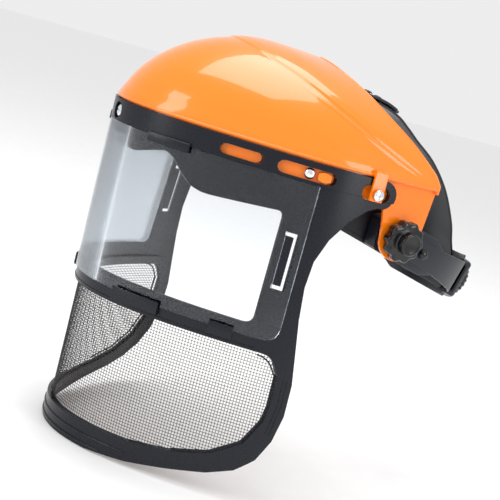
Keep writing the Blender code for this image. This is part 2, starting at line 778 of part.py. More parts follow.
def strap_along(name, path, half, thick, look):
    """A flat strap along a path in the (y, z) plane, half as wide as given each side of the middle."""
    stations = []
    for k, (y, z) in enumerate(path):
        before = Vector((0, *path[max(k - 1, 0)]))
        after = Vector((0, *path[min(k + 1, len(path) - 1)]))
        lie = (after - before).normalized()
        out = Vector((0, -lie.z, lie.y)) * thick / 2
        spot = Vector((0, y, z))
        side = Vector((half, 0, 0))
        stations.append([spot + side + out, spot - side + out, spot - side - out, spot + side - out])
    return swept(name, stations, look)


def crown_height(path, y):
    """Height of a path at y, and its slope there."""
    for (y0, z0), (y1, z1) in zip(path, path[1:]):
        if y0 <= y <= y1:
            return z0 + (z1 - z0) * (y - y0) / (y1 - y0), (z1 - z0) / (y1 - y0)
    raise ValueError("outside the path")


def crown_straps():
    """The strap over the head in two halves, pegged together at the crown."""
    front = strap_along("crown_strap_front", CROWN_FRONT, CROWN_HALF, STRAP, "strap_black")
    rear = strap_along("crown_strap_rear", CROWN_REAR, CROWN_HALF - 0.0010, STRAP, "strap_black")
    for n, y in enumerate(PEG_Y):
        z, slope = crown_height(CROWN_FRONT, y)
        lean = Vector((0, -slope, 1)).normalized()
        drill_through(f"front_peg_hole_{n}", front, Vector((0, y, z)), lean, PEG_R + GAP)
        drill_through(f"rear_peg_hole_{n}", rear, Vector((0, y, z)), lean, PEG_R + 0.0009)
        high = 0.0036
        profile = [(0, high), (0.0030, high - 0.0002), (0.0042, high - 0.0014), (PEG_R, high - 0.0014)]
        profile += [(PEG_R, -0.0048), (0.0030, -0.0048), (0.0030, -0.0058), (0, -0.0060)]
        label = ("front", "rear")[n]
        peg = turned(f"{label}_crown_peg", profile, "knob_black", sides=12, bore=False)
        place(peg, (0, y, z), along(lean))
    slit = box("buckle_slit", (-0.0165, 0.0868, 0.02), (0.0165, 0.0888, 0.09))
    boolean(front, "DIFFERENCE", slit)
    place(front, (0, 0, 0))
    place(rear, (0, 0, 0))


BRACKET_IN = 0.0864
BRACKET_OUT = 0.0990
WASHER_R = 0.0110


def pivots():
    """Bracket, friction washer, bolt, tilt knob and its nut at each temple."""
    for side, label in ((1, "left"), (-1, "right")):
        out = Vector((side, 0, 0))
        outline = rounded(
            [
                (PIVOT_Y + 0.0145, PIVOT_Z - 0.0125),
                (PIVOT_Y + 0.0145, PIVOT_Z + 0.0125),
                (PIVOT_Y - 0.0145, PIVOT_Z + 0.0125),
                (PIVOT_Y - 0.0145, PIVOT_Z - 0.0125),
            ],
            0.0045,
            3,
        )
        spots = sorted((side * BRACKET_IN, side * BRACKET_OUT))
        bracket = prism(f"{label}_pivot_bracket", outline, *spots, "X", "strap_black")
        reach = sorted((side * 0.07, side * 0.12))
        drill(f"bracket_bore_{side}", bracket, "X", (PIVOT_Y, PIVOT_Z), BOLT_R + GAP, *reach)
        place(bracket, (0, 0, 0))
        washer = turned(
            f"{label}_friction_washer",
            [(WASHER_R, 0.0029), (WASHER_R, 0), (BOLT_R + GAP, 0), (BOLT_R + GAP, 0.0029)],
            "washer_nylon",
            sides=18,
        )
        place(washer, (side * (BRACKET_OUT + GAP), PIVOT_Y, PIVOT_Z), along(out))
        head = [(0, 0.0370), (BOLT_R, 0.0370), (BOLT_R, 0.0020), (0.0070, 0.0020), (0.0070, 0.0006), (0.0062, 0), (0, 0)]
        bolt = turned(f"{label}_pivot_bolt", head, "bolt_steel", sides=16, bore=False)
        place(bolt, (side * 0.0786, PIVOT_Y, PIVOT_Z), along(out))
        top = KNOB_DEEP + CAP_DEEP
        knob_profile = [(0, top), (CAP_R - 0.0010, top), (CAP_R, top - 0.0010), (CAP_R, KNOB_DEEP)]
        knob_profile += [(KNOB_R - 0.0014, KNOB_DEEP), (KNOB_R, KNOB_DEEP - 0.0012), (KNOB_R, 0.0010)]
        knob_profile += [(KNOB_R - 0.0010, 0), (0.0064, 0), (0.0064, 0.0048), (0.0036, 0.0048), (0.0036, 0.0120), (0, 0.0120)]
        knob = turned(f"{label}_tilt_knob", knob_profile, "knob_black", sides=30, lobes=10, lobe_deep=0.0016, bore=False)
        place(knob, (side * (EAR_X + GAP + 0.0002), PIVOT_Y, PIVOT_Z), along(out))
        nut = hex_nut(f"{label}_knob_nut", 0.0060, 0.0042, BOLT_R + 0.0009)
        place(nut, (side * (EAR_X + GAP + 0.0005), PIVOT_Y, PIVOT_Z), along(out))


# ---------------------------------------------------------------- rear cradle and ratchet
CURVE_R = HEAD_HALF_WIDE**2 / HEAD_HALF_LONG
CURVE_Y = HEAD_Y + HEAD_HALF_LONG - CURVE_R


def rear_point(turn, up, out):
    """A point behind the head: turn in degrees from the middle towards the wearer's left."""
    psi = math.radians(turn)
    flat = Vector((0, CURVE_Y, head_plane_z(CURVE_Y)))
    reach = CURVE_R + out
    return flat + Vector((reach * math.sin(psi), 0, 0)) + BACK * (reach * math.cos(psi)) + UP * up


def rear_strip(name, start, end, section, columns, look):
    """A closed section of (up, out) points swept round the nape."""
    stations = []
    for k in range(columns + 1):
        turn = start + (end - start) * k / columns
        stations.append([rear_point(turn, up, out) for up, out in section])
    return swept(name, stations, look)


def slab(low, high, inner, outer):
    return ((high, outer), (low, outer), (low, inner), (high, inner))


def rear_cradle():
    """The curved cradle, its nape pad and the ratchet cover."""
    cradle = rear_strip("rear_cradle", -42, 42, slab(-0.0190, 0.0190, GAP, GAP + 0.0020), 20, "strap_black")
    place(cradle, (0, 0, 0))
    pad = rear_strip("nape_pad", -33, 33, slab(-0.0150, 0.0150, -PAD, -GAP), 10, "pad_foam")
    place(pad, (0, 0, 0))
    stations = []
    columns = 16
    for k in range(columns + 1):
        turn = -36 + 72 * k / columns
        taper = abs(turn) / 36
        tall = 0.0180 - 0.0030 * taper**2
        deep = 0.0138 - 0.0045 * taper**2
        wall = 0.0018
        section = ((tall, 0.0026), (tall, deep), (-tall, deep), (-tall, 0.0026))
        section += ((-tall + wall, 0.0026), (-tall + wall, deep - wall), (tall - wall, deep - wall), (tall - wall, 0.0026))
        stations.append([rear_point(turn, up, out) for up, out in section])
    cover = swept("ratchet_cover", stations, "strap_black")
    bore = turned("cover_bore", [(0, 0.03), (0.0048, 0.03), (0.0048, -0.0), (0, -0.0)], sides=20, bore=False)
    bore.matrix_world = Matrix.Translation(rear_point(0, 0, 0.0090)) @ along(BACK).to_4x4()
    boolean(cover, "DIFFERENCE", bore)
    place(cover, (0, 0, 0))


def rack(name, side):
    """A curved rack: the left one passes over the pinion, the right one under it, with teeth on the inner edge."""
    period = 2 * math.pi * PITCH_R / TEETH
    middle_r = CURVE_R + 0.0041
    stations = []
    tip = PITCH_R - TOOTH + RACK_GAP
    root = PITCH_R + TOOTH + RACK_GAP + 0.0003
    marks = [(-0.0200, root)]
    for n in range(-5, 5):
        middle = (n + 0.5) * period
        marks += [(middle - 0.0010, root), (middle - 0.0004, tip), (middle + 0.0004, tip), (middle + 0.0010, root)]
    marks += [(0.0230, root), (0.0290, root), (0.0350, root), (0.0410, root)]
    for along_x, edge in marks:
        turn = math.degrees(along_x / middle_r) * side
        section = ((side * edge, 0.0050), (side * 0.0112, 0.0050), (side * 0.0112, 0.0032), (side * edge, 0.0032))
        stations.append([rear_point(turn, up, out) for up, out in section])
    return place(swept(name, stations, "strap_black"), (0, 0, 0))


def gear_outline():
    """The pinion's outline: straight-flanked teeth, one of them pointing up."""
    points = []
    for n in range(TEETH):
        middle = 2 * math.pi * n / TEETH + math.pi / 2
        for radius, half in ((0.0047, 0.00095), (0.0067, 0.00035)):
            points.append((radius, middle - half / radius))
        for radius, half in ((0.0067, 0.00035), (0.0047, 0.00095)):
            points.append((radius, middle + half / radius))
    return [(r * math.cos(t), r * math.sin(t)) for r, t in points]


def ratchet():
    """Knob, pinion with its shaft, click ring, screw, and the two racks."""
    turn = Matrix((Vector((1, 0, 0)), UP, BACK)).transposed()
    if turn.determinant() < 0:
        turn = Matrix((Vector((-1, 0, 0)), UP, BACK)).transposed()
    pinion = prism("ratchet_pinion", gear_outline(), 0, 0.0022, "Z", "washer_nylon")
    shaft_profile = [(0, 0.0203), (0.0044, 0.0203), (0.0044, 0.0010), (0, 0.0010)]
    shaft = turned("pinion_shaft", shaft_profile, sides=20, bore=False)
    boolean(pinion, "UNION", shaft)
    screw_way = turned("screw_way", [(0, 0.03), (0.0014, 0.03), (0.0014, 0.0130), (0, 0.0130)], sides=12, bore=False)
    boolean(pinion, "DIFFERENCE", screw_way)
    settle(pinion)
    place(pinion, rear_point(0, 0, 0.0030), turn)
    ring = turned(
        "click_ring", [(0.0125, 0.0018), (0.0125, 0), (0.0105, 0), (0.0105, 0.0018)], "washer_nylon", 32, 16, 0.0006
    )
    place(ring, rear_point(0, 0, 0.0065), turn)
    pawl = turned("ratchet_pawl", [(0.0098, 0.0014), (0.0098, 0), (0.0046, 0), (0.0046, 0.0014)], "washer_nylon", 24)
    place(pawl, rear_point(0, 0, 0.0067), turn)
    deep = RATCHET_KNOB_DEEP
    large = RATCHET_KNOB_R
    profile = [(large - 0.0035, deep), (large - 0.0010, deep - 0.0015), (large, deep - 0.0035), (large, 0.0008)]
    profile += [(large - 0.0008, 0), (0.0047, 0), (0.0047, deep - 0.0020), (0.0060, deep - 0.0020), (0.0060, deep)]
    knob = turned("ratchet_knob", profile, "knob_black", 48, 24, 0.0009)
    place(knob, rear_point(0, 0, 0.0142), turn)
    screw = turned(
        "ratchet_screw",
        [(0, 0.0012), (0.0045, 0.0010), (0.0056, 0), (0.0010, 0), (0.0010, -0.0060), (0, -0.0060)],
        "bolt_steel",
        16,
        bore=False,
    )
    place(screw, rear_point(0, 0, 0.0142 + deep - 0.0020 + GAP), turn)
    rack("left_rack", 1)
    rack("right_rack", -1)



BODIES = {  # moving body: its joint's point in the design frame, and its parts
    "shield_axis": (
        (0, PIVOT_Y, PIVOT_Z),
        "brow_guard visor_frame clear_window wire_mesh mesh_clamp front_screw front_nut "
        "left_lug_screw left_lug_nut left_band_stud left_stud_retainer "
        "right_lug_screw right_lug_nut right_band_stud right_stud_retainer",
    ),
    "left_knob_axis": ((EAR_X, PIVOT_Y, PIVOT_Z), "left_tilt_knob left_knob_nut"),
    "right_knob_axis": ((-EAR_X, PIVOT_Y, PIVOT_Z), "right_tilt_knob right_knob_nut"),
    "cradle_axis": (rear_point(0, 0, 0), "rear_cradle nape_pad ratchet_cover click_ring"),
    "left_rack_axis": ((0, CURVE_Y, head_plane_z(CURVE_Y)), "left_rack"),
    "right_rack_axis": ((0, CURVE_Y, head_plane_z(CURVE_Y)), "right_rack"),
    "ratchet_axis": (rear_point(0, 0, 0.0030), "ratchet_pinion ratchet_pawl ratchet_knob ratchet_screw"),
}

visor_frame()
clear_window()
brow_guard()
wire_mesh()
mesh_clamp()
visor_fasteners()
headband()
side_straps()
pads()
crown_straps()
pivots()
rear_cradle()
ratchet()

for obj in list(PARTS.objects) + list(CUTTERS.objects):
    obj.matrix_world = SHIFT @ obj.matrix_world
for axis_name, (spot, names) in BODIES.items():
    axis = bpy.data.objects.new(axis_name, None)
    axis.empty_display_size = 0.02
    PARTS.objects.link(axis)
    axis.matrix_world = SHIFT @ Matrix.Translation(Vector(spot))
    for name in names.split():
        child = bpy.data.objects[name]
        stay = child.matrix_world.copy()
        child.parent = axis
        child.matrix_parent_inverse = Matrix.Translation(-axis.matrix_world.translation)
        child.matrix_world = stay
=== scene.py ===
"""Forestry face shield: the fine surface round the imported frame. Sizes are in metres, and the pieces are
worked out in the design's frame (brow line at z = 0, cheeks' plane at y = 0), then moved by SHIFT."""

import json
import math

import bmesh
import bpy
import numpy as np
from mathutils import Matrix, Vector

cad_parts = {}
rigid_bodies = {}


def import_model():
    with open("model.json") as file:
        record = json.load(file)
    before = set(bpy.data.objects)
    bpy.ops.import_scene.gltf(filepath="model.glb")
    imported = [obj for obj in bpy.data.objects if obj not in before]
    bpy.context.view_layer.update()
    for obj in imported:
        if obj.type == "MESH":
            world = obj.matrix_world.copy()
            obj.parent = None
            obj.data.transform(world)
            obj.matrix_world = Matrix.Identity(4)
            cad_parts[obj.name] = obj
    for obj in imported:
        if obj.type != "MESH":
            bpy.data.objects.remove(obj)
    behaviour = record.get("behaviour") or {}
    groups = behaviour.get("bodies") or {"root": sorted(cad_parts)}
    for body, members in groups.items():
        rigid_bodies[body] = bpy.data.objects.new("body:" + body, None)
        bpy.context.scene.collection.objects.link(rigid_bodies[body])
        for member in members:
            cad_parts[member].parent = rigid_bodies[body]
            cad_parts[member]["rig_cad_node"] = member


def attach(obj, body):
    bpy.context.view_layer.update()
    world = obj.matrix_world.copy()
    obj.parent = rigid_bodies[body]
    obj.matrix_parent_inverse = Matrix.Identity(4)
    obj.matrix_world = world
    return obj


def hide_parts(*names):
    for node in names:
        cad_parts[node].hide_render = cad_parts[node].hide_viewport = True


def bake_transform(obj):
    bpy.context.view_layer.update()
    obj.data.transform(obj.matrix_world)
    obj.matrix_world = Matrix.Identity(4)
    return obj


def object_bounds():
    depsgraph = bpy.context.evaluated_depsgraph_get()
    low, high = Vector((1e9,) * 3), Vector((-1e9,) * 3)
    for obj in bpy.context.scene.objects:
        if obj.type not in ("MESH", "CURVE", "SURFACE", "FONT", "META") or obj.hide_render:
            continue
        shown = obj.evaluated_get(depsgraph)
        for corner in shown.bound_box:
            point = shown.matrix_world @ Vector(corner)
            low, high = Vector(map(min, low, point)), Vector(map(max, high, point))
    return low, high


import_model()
CAD_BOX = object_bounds()

# ---------------------------------------------------------------- the design's dimensions
WALL_DEPTH = 0.1195
WALL_HALF = 0.105
BLEND_P = 0.0982
BLEND_Y = -0.015
SIDE_Y = 0.030
SIDE_HALF = 0.106
TAIL_IN = 0.83
WIDEN = 0.59
RECEDE = 0.387
Z_REF = -0.025
SHEET = 0.0025
BAND = 0.0040
BAND_LOW = -0.0145
LIP_LOW = -0.0223
FILM_IN = 0.0028
FILM = 0.0010
FILM_TOP = -0.0152
FILM_LOW = -0.1278
FILM_REAR = -0.0093
WINDOW_LOW = -0.1192
WINDOW_REAR = -0.0260
MESH_TOP = -0.1369
VISOR_LOW = -0.2460
DOME_TOP = 0.0676
DOME_CENTRE_Y = -0.020
DOME_POWER = 0.60
GUARD = 0.0022
RIM_OUT = 0.0025
RIM_Z = 0.0009
SKIRT_LOW = -0.0180
PIVOT_Y = 0.0650
PIVOT_Z = -0.0382
EAR_X = 0.1070
TILT = math.radians(15.0)
HEAD_Y = 0.0840
HEAD_LONG = 0.1060
HEAD_WIDE = 0.0840
STRAP = 0.0020
BAND_HALF = 0.0150
CURVE_R = HEAD_WIDE**2 / HEAD_LONG
CURVE_Y = HEAD_Y + HEAD_LONG - CURVE_R
UP = Vector((0, math.sin(TILT), math.cos(TILT)))
BACK = Vector((0, math.cos(TILT), -math.sin(TILT)))
ORIGIN = Vector((0, HEAD_Y, PIVOT_Z - math.tan(TILT) * (HEAD_Y - PIVOT_Y)))
SHIFT = Matrix.Translation(-ORIGIN)


def head_plane_z(y):
    return PIVOT_Z - math.tan(TILT) * (y - PIVOT_Y)


EAR_OUT = EAR_X + 0.0005
COLUMNS = 180


# ---------------------------------------------------------------- the visor wall
def side_half_width(y):
    """Half-width of the wall behind the parabola, by y."""
    if y >= SIDE_Y:
        return SIDE_HALF - TAIL_IN * (y - SIDE_Y) ** 2
    t = (y - BLEND_Y) / (SIDE_Y - BLEND_Y)
    slope = WALL_DEPTH * 2 * BLEND_P / WALL_HALF**2
    run = (SIDE_Y - BLEND_Y) / slope
    start = (2 * t**3 - 3 * t**2 + 1) * BLEND_P + (t**3 - 2 * t**2 + t) * run
    return start + (3 * t**2 - 2 * t**3) * SIDE_HALF


def plan_point(p):
    """A point of the wall's plan by its parameter: x along the parabola, then metres of y along the side."""
    side = math.copysign(1.0, p)
    p = abs(p)
    if p <= BLEND_P:
        return side * p, WALL_DEPTH * (p / WALL_HALF) ** 2 - WALL_DEPTH
    y = -WALL_DEPTH * (1 - (BLEND_P / WALL_HALF) ** 2) + p - BLEND_P
    return side * side_half_width(y), y


def wall_point(p, z, out=0.0):
    """A point of the wall at parameter p and height z, moved outwards."""
    ahead = Vector(plan_point(p + 1e-4))
    behind = Vector(plan_point(p - 1e-4))
    along = (ahead - behind).normalized()
    x, y = plan_point(p)
    drop = z - Z_REF
    x *= 1 - WIDEN * drop
    if y < 0:
        y *= 1 + RECEDE * drop
    return Vector((x + along.y * out, y - along.x * out, z))


def wall_param(y):
    """The plan parameter of the left side at a given y."""
    handover = -WALL_DEPTH * (1 - (BLEND_P / WALL_HALF) ** 2)
    if y >= handover:
        return BLEND_P + y - handover
    return WALL_HALF * math.sqrt((y + WALL_DEPTH) / WALL_DEPTH)


CHEEK = (  # rear edge of a cheek, from the arm down to the chin
    (0.018, -0.0335),
    (0.007, -0.049),
    (0.0005, -0.066),
    (-0.0008, -0.085),
    (0.0015, -0.108),
    (0.0055, -0.131),
    (0.0095, -0.154),
    (0.0100, -0.177),
    (0.0060, -0.196),
    (-0.0020, -0.2115),
    (-0.0140, -0.2225),
    (-0.0300, -0.2300),
    (-0.0520, -0.2360),
    (-0.0760, -0.2420),
    (-0.0980, -0.2455),
)


def arc(centre, radius, start, end, steps):
    """Points of an arc in the (y, z) plane, angles in degrees from +y."""
    out = []
    for k in range(steps + 1):
        turn = math.radians(start + (end - start) * k / steps)
        out.append((centre[0] + radius * math.cos(turn), centre[1] + radius * math.sin(turn)))
    return out


ARM_END = (0.0396, -0.0103)
ARM_R = 0.0100


def frame_outline():
    """The visor frame seen from the side."""
    top = [(-0.16, 0.0), (ARM_END[0], 0.0)]
    end = arc(ARM_END, ARM_R, 75, -100, 9)
    under = [(0.030, -0.0235)]
    return top + end + under + list(CHEEK) + [(-0.112, VISOR_LOW), (-0.16, VISOR_LOW)]


def window_outline():
    """The clear opening seen from the side: a deeper side plate behind, a narrow lip across the front."""
    points = [
        (-0.16, LIP_LOW),
        (-0.0980, LIP_LOW),
        (-0.0820, -0.0430),
        (WINDOW_REAR, -0.0380),
        (WINDOW_REAR, WINDOW_LOW),
        (-0.16, WINDOW_LOW + 0.0015),
    ]
    return rounded(points, [0, 0.006, 0.010, 0.005, 0.006, 0])


def mesh_outline(grow=0.0):
    """The mesh opening seen from the side."""
    points = [
        (-0.16, MESH_TOP + grow),
        (-0.0095 + grow, MESH_TOP + grow),
        (-0.0025 + grow, -0.150),
        (-0.0020 + grow, -0.172),
        (-0.0035 + grow, -0.1830),
        (-0.0125 + grow * 0.8, -0.2020 - grow * 0.5),
        (-0.0300, -0.2155 - grow),
        (-0.0520, -0.2228 - grow),
        (-0.0760, -0.2270 - grow),
        (-0.16, -0.2300 - grow),
    ]
    return rounded(points, [0, 0.007, 0, 0, 0, 0, 0, 0, 0, 0], steps=4)


def obround(y_from, y_to, z_mid, half):
    """A slot with round ends, in the (y, z) plane."""
    right = arc((y_to - half, z_mid), half, -90, 90, 5)
    left = arc((y_from + half, z_mid), half, 90, 270, 5)
    return right + left


def rounded(points, radius, steps=4):
    """A closed outline with each corner replaced by an arc-like fillet of that radius."""
    radii = radius if isinstance(radius, (list, tuple)) else [radius] * len(points)
    out = []
    for i, here in enumerate(points):
        before = Vector(points[i - 1])
        after = Vector(points[(i + 1) % len(points)])
        corner = Vector(here)
        if radii[i] <= 0:
            out.append(corner)
            continue
        to_before = (before - corner).normalized()
        to_after = (after - corner).normalized()
        start = corner + to_before * radii[i]
        end = corner + to_after * radii[i]
        for k in range(steps + 1):
            t = k / steps
            out.append(start * (1 - t) ** 2 + corner * 2 * t * (1 - t) + end * t * t)
    return out


def latch_gap():
    """The U-shaped gap round the rear latch's tongue, seen from the side."""
    y0, y1, z0, z1 = LATCH
    inner = y1 - LATCH_GAP
    top = [(y0, z0), (y1, z0), (y1, z1), (y0, z1)]
    over, under = z0 - LATCH_GAP, z1 + LATCH_GAP
    return top + [(y0, under), (inner, under), (inner, over), (y0, over)]


def head_point(turn, up, out):
    """A point of the headband: turn in degrees from the forehead, height across the band, and offset."""
    phi = math.radians(turn)
    x = (HEAD_WIDE + out) * math.sin(phi)
    y = HEAD_Y - (HEAD_LONG + out) * math.cos(phi)
    return Vector((x, y, head_plane_z(y))) + UP * up


def rear_point(turn, up, out):
    """A point behind the head: turn in degrees from the middle towards the wearer's left."""
    psi = math.radians(turn)
    flat = Vector((0, CURVE_Y, head_plane_z(CURVE_Y)))
    reach = CURVE_R + out
    return flat + Vector((reach * math.sin(psi), 0, 0)) + BACK * (reach * math.cos(psi)) + UP * up


SLOTS = (  # y from, y to, height, half-width: the orange skirt shows through these
    (-0.0740, -0.0470, -0.0085, 0.0037),
    (-0.0390, 0.0000, -0.0085, 0.0045),
    (0.0205, 0.0440, -0.0105, 0.0058),
)
LATCH = (-0.0222, -0.0135, -0.0507, -0.0915)
LATCH_GAP = 0.0030
FRONT_SCREW = (0.0, -0.0080)
STUD = (-0.0165, -0.0085)
LUG = (0.0317, -0.0105)
CROWN_FRONT = (  # (y, z) of the strap's middle line, from the forehead over the crown
    (-0.0245, -0.0060),
    (-0.0235, 0.0040),
    (-0.0170, 0.0180),
    (-0.0040, 0.0320),
    (0.0140, 0.0430),
    (0.0360, 0.0495),
    (0.0560, 0.0510),
    (0.0760, 0.0490),
    (0.0920, 0.0440),
)
CROWN_REAR = (
    (0.0620, 0.0476),
    (0.0760, 0.0458),
    (0.0915, 0.0410),
    (0.1030, 0.0345),
    (0.1160, 0.0262),
    (0.1360, 0.0140),
    (0.1560, -0.0050),
    (0.1720, -0.0290),
    (0.1790, -0.0455),
)
CLIP_ROOT = 0.0020
CLIP_IN = 0.0057
CLIP_OUT = 0.0074
CLIPS = (  # along the wall from, to, root's far and near heights, hook's end
    (0.034, 0.055, -0.0127, -0.0149, -0.0195),
    (0.034, 0.058, -0.1335, -0.1281, -0.1240),
    (0.0785, 0.0870, -0.1335, -0.1281, -0.1240),
)


# ---------------------------------------------------------------- finishes
def finish(
    name, colour, rough, metal=0.0, coat=0.0, grain=0.03, scale=900.0, bump=0.05, bevel=0.0, shine=0.5
):
    """A procedural finish: a fine grain in the colour, the roughness and the relief, with eased edges."""
    look = bpy.data.materials.new(name)
    look.use_nodes = True
    nodes = look.node_tree.nodes
    links = look.node_tree.links
    shader = nodes["Principled BSDF"]
    spot = nodes.new("ShaderNodeTexCoord")
    noise = nodes.new("ShaderNodeTexNoise")
    noise.inputs["Scale"].default_value = scale
    noise.inputs["Detail"].default_value = 3.0
    links.new(spot.outputs["Object"], noise.inputs["Vector"])
    tint = nodes.new("ShaderNodeValToRGB")
    tint.color_ramp.elements[0].position = 0.3
    tint.color_ramp.elements[1].position = 0.7
    tint.color_ramp.elements[0].color = (*[c * (1 - grain * 3) for c in colour], 1)
    tint.color_ramp.elements[1].color = (*[min(c * (1 + grain * 3), 1) for c in colour], 1)
    links.new(noise.outputs["Fac"], tint.inputs["Fac"])
    links.new(tint.outputs["Color"], shader.inputs["Base Color"])
    gloss = nodes.new("ShaderNodeMapRange")
    gloss.inputs["To Min"].default_value = max(rough - grain, 0.02)
    gloss.inputs["To Max"].default_value = rough + grain
    links.new(noise.outputs["Fac"], gloss.inputs["Value"])
    links.new(gloss.outputs["Result"], shader.inputs["Roughness"])
    shader.inputs["Metallic"].default_value = metal
    shader.inputs["Coat Weight"].default_value = coat
    shader.inputs["Coat Roughness"].default_value = 0.05
    shader.inputs["Specular IOR Level"].default_value = shine
    relief = nodes.new("ShaderNodeBump")
    relief.inputs["Strength"].default_value = bump
    relief.inputs["Distance"].default_value = 0.0003
    links.new(noise.outputs["Fac"], relief.inputs["Height"])
    if bevel:
        ease = nodes.new("ShaderNodeBevel")
        ease.samples = 4
        ease.inputs["Radius"].default_value = bevel
        links.new(ease.outputs["Normal"], relief.inputs["Normal"])
    links.new(relief.outputs["Normal"], shader.inputs["Normal"])
    return look


def clear_finish():
    """A thin clear sheet: mostly see-through, with a mirror-like sheen that grows towards grazing."""
    look = bpy.data.materials.new("clear_film")
    look.use_nodes = True
    nodes = look.node_tree.nodes
    links = look.node_tree.links
    nodes.remove(nodes["Principled BSDF"])
    through = nodes.new("ShaderNodeBsdfTransparent")
    through.inputs["Color"].default_value = (0.965, 0.975, 0.985, 1)
    sheen = nodes.new("ShaderNodeBsdfPrincipled")
    sheen.inputs["Base Color"].default_value = (0.9, 0.93, 0.96, 1)
    sheen.inputs["Metallic"].default_value = 1.0
    sheen.inputs["Roughness"].default_value = 0.10
    facing = nodes.new("ShaderNodeFresnel")
    facing.inputs["IOR"].default_value = 1.36
    spot = nodes.new("ShaderNodeTexCoord")
    noise = nodes.new("ShaderNodeTexNoise")
    noise.inputs["Scale"].default_value = 30.0
    links.new(spot.outputs["Object"], noise.inputs["Vector"])
    share = nodes.new("ShaderNodeMapRange")
    share.inputs["To Min"].default_value = 0.0
    share.inputs["To Max"].default_value = 0.8
    links.new(facing.outputs["Fac"], share.inputs["Value"])
    uneven = nodes.new("ShaderNodeMath")
    uneven.operation = "MULTIPLY_ADD"
    uneven.inputs[1].default_value = 0.012
    links.new(noise.outputs["Fac"], uneven.inputs[0])
    links.new(share.outputs["Result"], uneven.inputs[2])
    mix = nodes.new("ShaderNodeMixShader")
    links.new(uneven.outputs["Value"], mix.inputs["Fac"])
    links.new(through.outputs["BSDF"], mix.inputs[1])
    links.new(sheen.outputs["BSDF"], mix.inputs[2])
    links.new(mix.outputs["Shader"], nodes["Material Output"].inputs["Surface"])
    return look


ORANGE = (0.96, 0.205, 0.003)
INK = (0.0040, 0.0050, 0.0100)
SLATE = (0.006, 0.008, 0.0145)
JET = (0.0030, 0.0034, 0.0045)
WIRE_GREY = (0.030, 0.028, 0.027)
FOAM_GREY = (0.030, 0.032, 0.038)
CHROME = (0.80, 0.81, 0.83)
STEEL = (0.42, 0.43, 0.45)
NYLON = (0.62, 0.60, 0.55)
FINISHES = {  # the record's material slots: colour, roughness, and what differs from a plain plastic
    "guard_orange": (
        ORANGE,
        0.28,
        dict(coat=0.75, grain=0.010, scale=500, bump=0.015, bevel=0.0005, shine=0.25),
    ),
    "frame_black": (INK, 0.27, dict(grain=0.04, scale=700, bump=0.03, bevel=0.0005, shine=0.32)),
    "mesh_steel": (WIRE_GREY, 0.42, dict(metal=0.5, grain=0.05, scale=2500, bump=0.10)),
    "strap_black": (SLATE, 0.36, dict(grain=0.04, scale=700, bump=0.05, bevel=0.0004, shine=0.4)),
    "knob_black": (JET, 0.20, dict(coat=0.2, grain=0.03, scale=900, bump=0.06, bevel=0.0004, shine=0.35)),
    "pad_foam": (FOAM_GREY, 0.85, dict(grain=0.10, scale=2200, bump=0.7)),
    "screw_chrome": (CHROME, 0.14, dict(metal=1.0, grain=0.02, scale=700, bump=0.03, bevel=0.0002)),
    "bolt_steel": (STEEL, 0.30, dict(metal=1.0, grain=0.04, scale=900, bump=0.06, bevel=0.0002)),
    "washer_nylon": (NYLON, 0.45, dict(grain=0.03, scale=900, bump=0.06, bevel=0.0002)),
}
LOOKS = {name: finish(name, colour, rough, **more) for name, (colour, rough, more) in FINISHES.items()}
LOOKS["clear_film"] = clear_finish()


# ---------------------------------------------------------------- mesh tools
def piece(name, verts, faces, look, move=None):
    """A mesh from points of the design's frame, or of its own frame placed by a matrix."""
    mesh = bpy.data.meshes.new(name)
    place = SHIFT @ move if move is not None else SHIFT
    mesh.from_pydata([place @ Vector(v) for v in verts], [], faces)
    mesh.validate()
    obj = bpy.data.objects.new(name, mesh)
    bpy.context.scene.collection.objects.link(obj)
    if look:
        mesh.materials.append(LOOKS[look])
    work = bmesh.new()
    work.from_mesh(mesh)
    bmesh.ops.recalc_face_normals(work, faces=work.faces)
    work.to_mesh(mesh)
    work.free()
    return obj


def settle(obj):
    """Applies an object's modifiers."""
    tree = bpy.context.evaluated_depsgraph_get()
    mesh = bpy.data.meshes.new_from_object(obj.evaluated_get(tree), depsgraph=tree)
    obj.modifiers.clear()
    obj.data = mesh


def boolean(obj, other, operation="DIFFERENCE", solver="MANIFOLD"):
    cut = obj.modifiers.new("cut", "BOOLEAN")
    cut.operation = operation
    cut.solver = solver
    cut.object = other
    settle(obj)
    bpy.data.objects.remove(other)


def soften(obj, degrees=32.0):
    """Smooth shading with sharp edges where faces meet at more than the angle."""
    work = bmesh.new()
    work.from_mesh(obj.data)
    bmesh.ops.dissolve_degenerate(work, dist=1e-7, edges=work.edges)
    limit = math.radians(degrees)
    for face in work.faces:
        face.smooth = True
    for edge in work.edges:
        edge.smooth = len(edge.link_faces) == 2 and edge.calc_face_angle(0.0) < limit
    work.to_mesh(obj.data)
    work.free()


def done(obj, body, look, *nodes, degrees=32.0):
    soften(obj, degrees)
    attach(obj, body)
    if nodes:
        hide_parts(*nodes)
    return obj


def loft(stations, closed=False):
    """Points and faces of a solid through equal closed sections, capped unless it closes on itself."""
    verts = [v for ring in stations for v in ring]
    count = len(stations[0])
    faces = []
    last = len(stations) if closed else len(stations) - 1
    for i in range(last):
        a = i * count
        b = (i + 1) % len(stations) * count
        for k in range(count):
            j = (k + 1) % count
            faces.append((a + k, a + j, b + j, b + k))
    if not closed:
        faces.append(tuple(range(count)))
        faces.append(tuple(range(len(verts) - 1, len(verts) - 1 - count, -1)))
    return verts, faces


